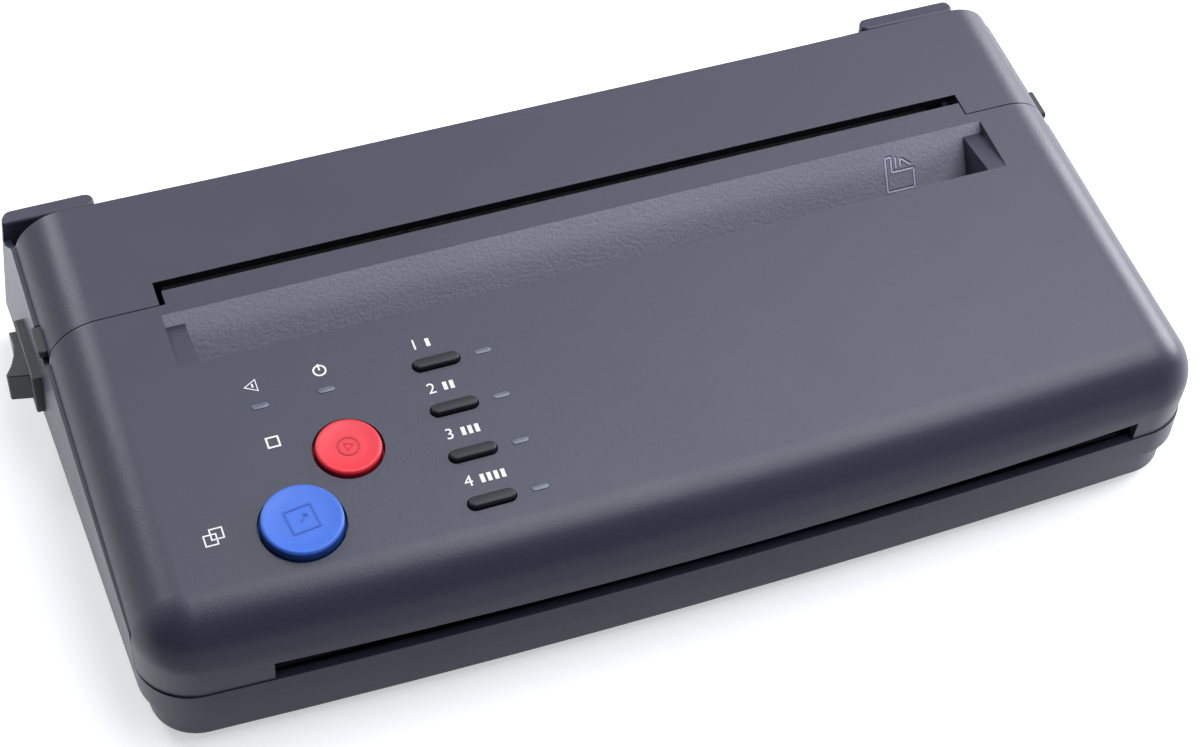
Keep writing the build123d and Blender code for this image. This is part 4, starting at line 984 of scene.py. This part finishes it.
class COPIER_OT_lamp_lenses(bpy.types.Operator):
    """Six small frosted lenses let into the panel"""

    bl_idname = "copier.lamp_lenses"
    bl_label = "Lamp lenses"

    def execute(self, context):
        pitch = context.scene.copier_sizes.key_pitch / MM
        spots = [(KEY_LAMP_X, KEY_SPOT[1] - n * pitch) for n in range(4)]
        spots += [POWER_LAMP_SPOT, ERROR_LAMP_SPOT]
        lenses = []
        for x, v in spots:
            lens = long_pill("lens", 4.3, 1.7, low=-2.4, high=0.12, round_off=0.18, steps=3, sides=24)
            settle(lens, leaned(x, v))
            lenses.append(lens)
        piece = joined("panel_lamps", lenses)
        dress(piece, "lamp_lens", "front_cover", ["lamp_lenses"])
        return {"FINISHED"}


class COPIER_OT_panel_signs(bpy.types.Operator):
    """Plain printed figures and signs beside the keys and buttons, and a raised page sign on the recess
    slope in painted highlight and painted shade
    """

    bl_idname = "copier.panel_signs"
    bl_label = "Panel signs"

    def execute(self, context):
        size = context.scene.copier_sizes.figure_height / MM
        signs = []
        for number, v in enumerate(FIGURE_ROWS):
            signs.append(flat_text(str(number + 1), size, FIGURE_X, v))
            for tick in range(number + 1):
                signs.append(flat_bar(1.0, 2.4, TICK_X + tick * TICK_PITCH, v, 0.02))
        x, v = POWER_SIGN_SPOT
        signs.append(flat_ring(1.7, 1.25, x, v, 0.02))
        signs.append(flat_bar(0.45, 1.9, x, v + 1.0, 0.03))
        x, v = ERROR_SIGN_SPOT
        signs.append(flat_ring(2.2, 1.75, x, v - 0.3, 0.02, sides=3, turn=math.pi / 2))
        signs.append(flat_bar(0.4, 1.1, x, v - 0.2, 0.03))
        x, v = SINGLE_SIGN_SPOT
        signs.append(flat_ring(2.3, 1.65, x, v, 0.02, sides=4, turn=math.pi / 4))
        x, v = DOUBLE_SIGN_SPOT
        signs.append(flat_ring(2.3, 1.8, x - 0.7, v - 0.6, 0.02, sides=4, turn=math.pi / 4))
        signs.append(flat_ring(2.3, 1.8, x + 1.0, v + 0.8, 0.02, sides=4, turn=math.pi / 4))
        dress(joined("panel_signs", signs), "ink", "front_cover")

        # Pale ridges with darker bars just down the slope: painted highlight and painted shade of a
        # raised sign.
        ridges, shades = [], []
        for length, x, down, turn in PAGE_SIGN:
            angle = math.radians(turn)
            ridges.append(flat_bar(length, 0.42, x, down, -0.05, angle, 0.24, on_slope))
            shades.append(flat_bar(length, 0.5, x + 0.25, down - 0.33, -0.05, angle, 0.09, on_slope))
        dress(joined("page_sign_ridges", ridges), "page_ridge_highlight", "front_cover")
        dress(joined("page_sign_shades", shades), "page_shade", "front_cover")
        return {"FINISHED"}


class COPIER_OT_switch(bpy.types.Operator):
    """Rocker switch on the left wall"""

    bl_idname = "copier.switch"
    bl_label = "Switch"

    def execute(self, context):
        for node, name, body in (
            ("switch_housing", "switch_bezel", "base"),
            ("switch_rocker", "switch_rocker_cap", "switch_rocker"),
        ):
            piece = reworked(node, name, 0.3, 3)
            dress(piece, "switch_black", body, [node])
        return {"FINISHED"}


class COPIER_OT_levers(bpy.types.Operator):
    """Release levers at both sides"""

    bl_idname = "copier.levers"
    bl_label = "Levers"

    def execute(self, context):
        for side in ("left", "right"):
            node = "latch_slider_" + side
            piece = reworked(node, "release_lever_" + side, 0.2)
            dress(piece, "inner_black", "latch_" + side, [node])
        return {"FINISHED"}


class COPIER_OT_springs(bpy.types.Operator):
    """Springs under the buttons and behind the thermal head, each coil split off as a piece of its own
    """

    bl_idname = "copier.springs"
    bl_label = "Springs"

    def execute(self, context):
        presses = [("stop_press", "stop_button"), ("start_press", "start_button")]
        presses += [("mode_%d_press" % n, "mode_key_%d" % n) for n in (1, 2, 3, 4)]
        for node, body, down in (
            ("button_springs", "front_cover", -OUTWARD),
            ("head_springs", "rear_lid", Vector((0.0, 0.0, 1.0))),
        ):
            whole = reworked(node, node + "_coils", 0)
            edit(whole)
            bpy.ops.mesh.separate(type="LOOSE")
            object_mode()
            for number, coil in enumerate(list(bpy.context.selected_objects)):
                coil.name = "%s_coil_%d" % (node, number + 1)
                points = [point.co for point in coil.data.vertices]
                middle = sum(points, Vector()) / len(points)
                body == "front_cover"
                ends = [(point - middle).dot(down) for point in points]
                length = max(ends) - min(ends)
                dress(coil, "steel", body, [node])
                seat = tuple(middle + down * max(ends))
                1.0 - MM / length
                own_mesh(coil)
        return {"FINISHED"}


class COPIER_OT_stage(bpy.types.Operator):
    """Pale floor, soft studio light and the camera"""

    bl_idname = "copier.stage"
    bl_label = "Stage"

    def execute(self, context):
        scene = context.scene
        nothing_selected()
        bpy.ops.mesh.primitive_plane_add(size=8.0, location=(0.0, 0.0, -0.0002))
        floor = bpy.context.object
        floor.name = "floor"
        floor.data.materials.append(self.floor_finish())

        scene.world = self.studio_world()

        for name, spot, wide, high, power in LIGHTS:
            lamp = bpy.data.lights.new(name, "AREA")
            lamp.shape = "RECTANGLE"
            lamp.size = wide
            lamp.size_y = high
            lamp.energy = power
            lamp.color = LIGHT_COLOUR
            holder = bpy.data.objects.new(name, lamp)
            scene.collection.objects.link(holder)
            holder.location = spot
            aim = LIGHT_AIM - Vector(spot)
            holder.rotation_euler = aim.to_track_quat("-Z", "Y").to_euler()
            holder.visible_glossy = name != UNREFLECTED_LIGHT

        lens = bpy.data.cameras.new("camera")
        lens.lens = CAMERA_FOCAL
        lens.sensor_width = 36.0
        lens.clip_start = 0.01
        lens.clip_end = 50.0
        camera = bpy.data.objects.new("camera", lens)
        scene.collection.objects.link(camera)
        camera.location = CAMERA_SPOT
        camera.rotation_euler = [math.radians(angle) for angle in CAMERA_TURN]
        scene.camera = camera
        scene.view_settings.view_transform = "Standard"
        return {"FINISHED"}

    @staticmethod
    def studio_world():
        """White for what the camera sees, a gradient for reflections, a dim light for the rest."""
        sheet = Sheet("studio", world=True)
        behind = sheet.add("ShaderNodeTexCoord", {}, output="Generated").part(1)
        # Reflections see a dark room in front of the copier and white behind it.
        wall = sheet.add(
            "ShaderNodeMapRange", {"interpolation_type": "SMOOTHSTEP"}, behind, -0.2, 0.35, -0.94, 0.0
        )
        tone = sheet.rays("Is Glossy Ray") * wall + 1.0
        shown = sheet.add("ShaderNodeBackground", {}, tone, 1.0)
        light = sheet.add("ShaderNodeBackground", {}, (0.93, 0.95, 1.0, 1.0), 0.26)
        seen = sheet.rays(*SEEN_RAYS)
        return sheet.finish(sheet.add("ShaderNodeMixShader", {}, seen, light, shown))

    @staticmethod
    def floor_finish():
        """Lit pale floor for the camera, plain grey floor for the light it bounces."""
        sheet = Sheet("pale floor")
        mottle = sheet.noise(3.0, 2.0, 0.5)
        base = sheet.blend(mottle, (0.8, 0.8, 0.81, 1.0), (0.83, 0.83, 0.84, 1.0))
        # Reflections see a darker floor in front of the copier.
        front = sheet.place.part(1).between(-0.076, -0.088)
        ahead = sheet.rays("Is Glossy Ray") * front
        base = sheet.blend(ahead * 0.5, base, (0.28, 0.28, 0.3, 1.0))
        lit = sheet.principled(Base_Color=base, Roughness=0.9, Specular_IOR_Level=0.1)
        shine = 0.45 - ahead * 0.4
        glow = sheet.add("ShaderNodeEmission", {}, shine, 1.0)
        both = sheet.add("ShaderNodeAddShader", {}, lit, glow)
        shade = sheet.blend(mottle, (0.46, 0.46, 0.5, 1.0), (0.49, 0.49, 0.53, 1.0))
        grey = sheet.principled(Base_Color=shade, Roughness=0.9, Specular_IOR_Level=0.1)
        seen = sheet.rays(*SEEN_RAYS)
        return sheet.finish(sheet.add("ShaderNodeMixShader", {}, seen, grey, both))


STEPS = (
    ("copier.finishes", "Finishes"),
    ("copier.shells", "Shells"),
    ("copier.round_buttons", "Round buttons"),
    ("copier.mode_keys", "Mode keys"),
    ("copier.lamp_lenses", "Lamp lenses"),
    ("copier.panel_signs", "Panel signs"),
    ("copier.switch", "Switch"),
    ("copier.levers", "Levers"),
    ("copier.springs", "Springs"),
    ("copier.stage", "Stage"),
)


class COPIER_PT_panel(bpy.types.Panel):
    """Sizes, colours and steps of the copier"""

    bl_label = "Stencil copier"
    bl_idname = "COPIER_PT_panel"
    bl_space_type = "VIEW_3D"
    bl_region_type = "UI"
    bl_category = "Copier"

    def draw(self, context):
        layout = self.layout
        for group in (context.scene.copier_sizes, context.scene.copier_colours):
            column = layout.column()
            for name in group.__annotations__:
                column.prop(group, name)
        for idname, label in STEPS:
            layout.operator(idname, text=label)


CLASSES = (
    CopierSizes,
    CopierColours,
    COPIER_OT_finishes,
    COPIER_OT_shells,
    COPIER_OT_round_buttons,
    COPIER_OT_mode_keys,
    COPIER_OT_lamp_lenses,
    COPIER_OT_panel_signs,
    COPIER_OT_switch,
    COPIER_OT_levers,
    COPIER_OT_springs,
    COPIER_OT_stage,
    COPIER_PT_panel,
)


def register():
    """Adds the classes and the two groups of settings."""
    for item in CLASSES:
        bpy.utils.register_class(item)
    bpy.types.Scene.copier_sizes = bpy.props.PointerProperty(type=CopierSizes)
    bpy.types.Scene.copier_colours = bpy.props.PointerProperty(type=CopierColours)


def unregister():
    """Takes the settings and the classes away again."""
    del bpy.types.Scene.copier_colours
    del bpy.types.Scene.copier_sizes
    for item in reversed(CLASSES):
        bpy.utils.unregister_class(item)


def main():
    """Runs each step in order."""
    register()
    for idname, _label in STEPS:
        group, name = idname.split(".")
        getattr(getattr(bpy.ops, group), name)()


if __name__ == "__main__":
    main()
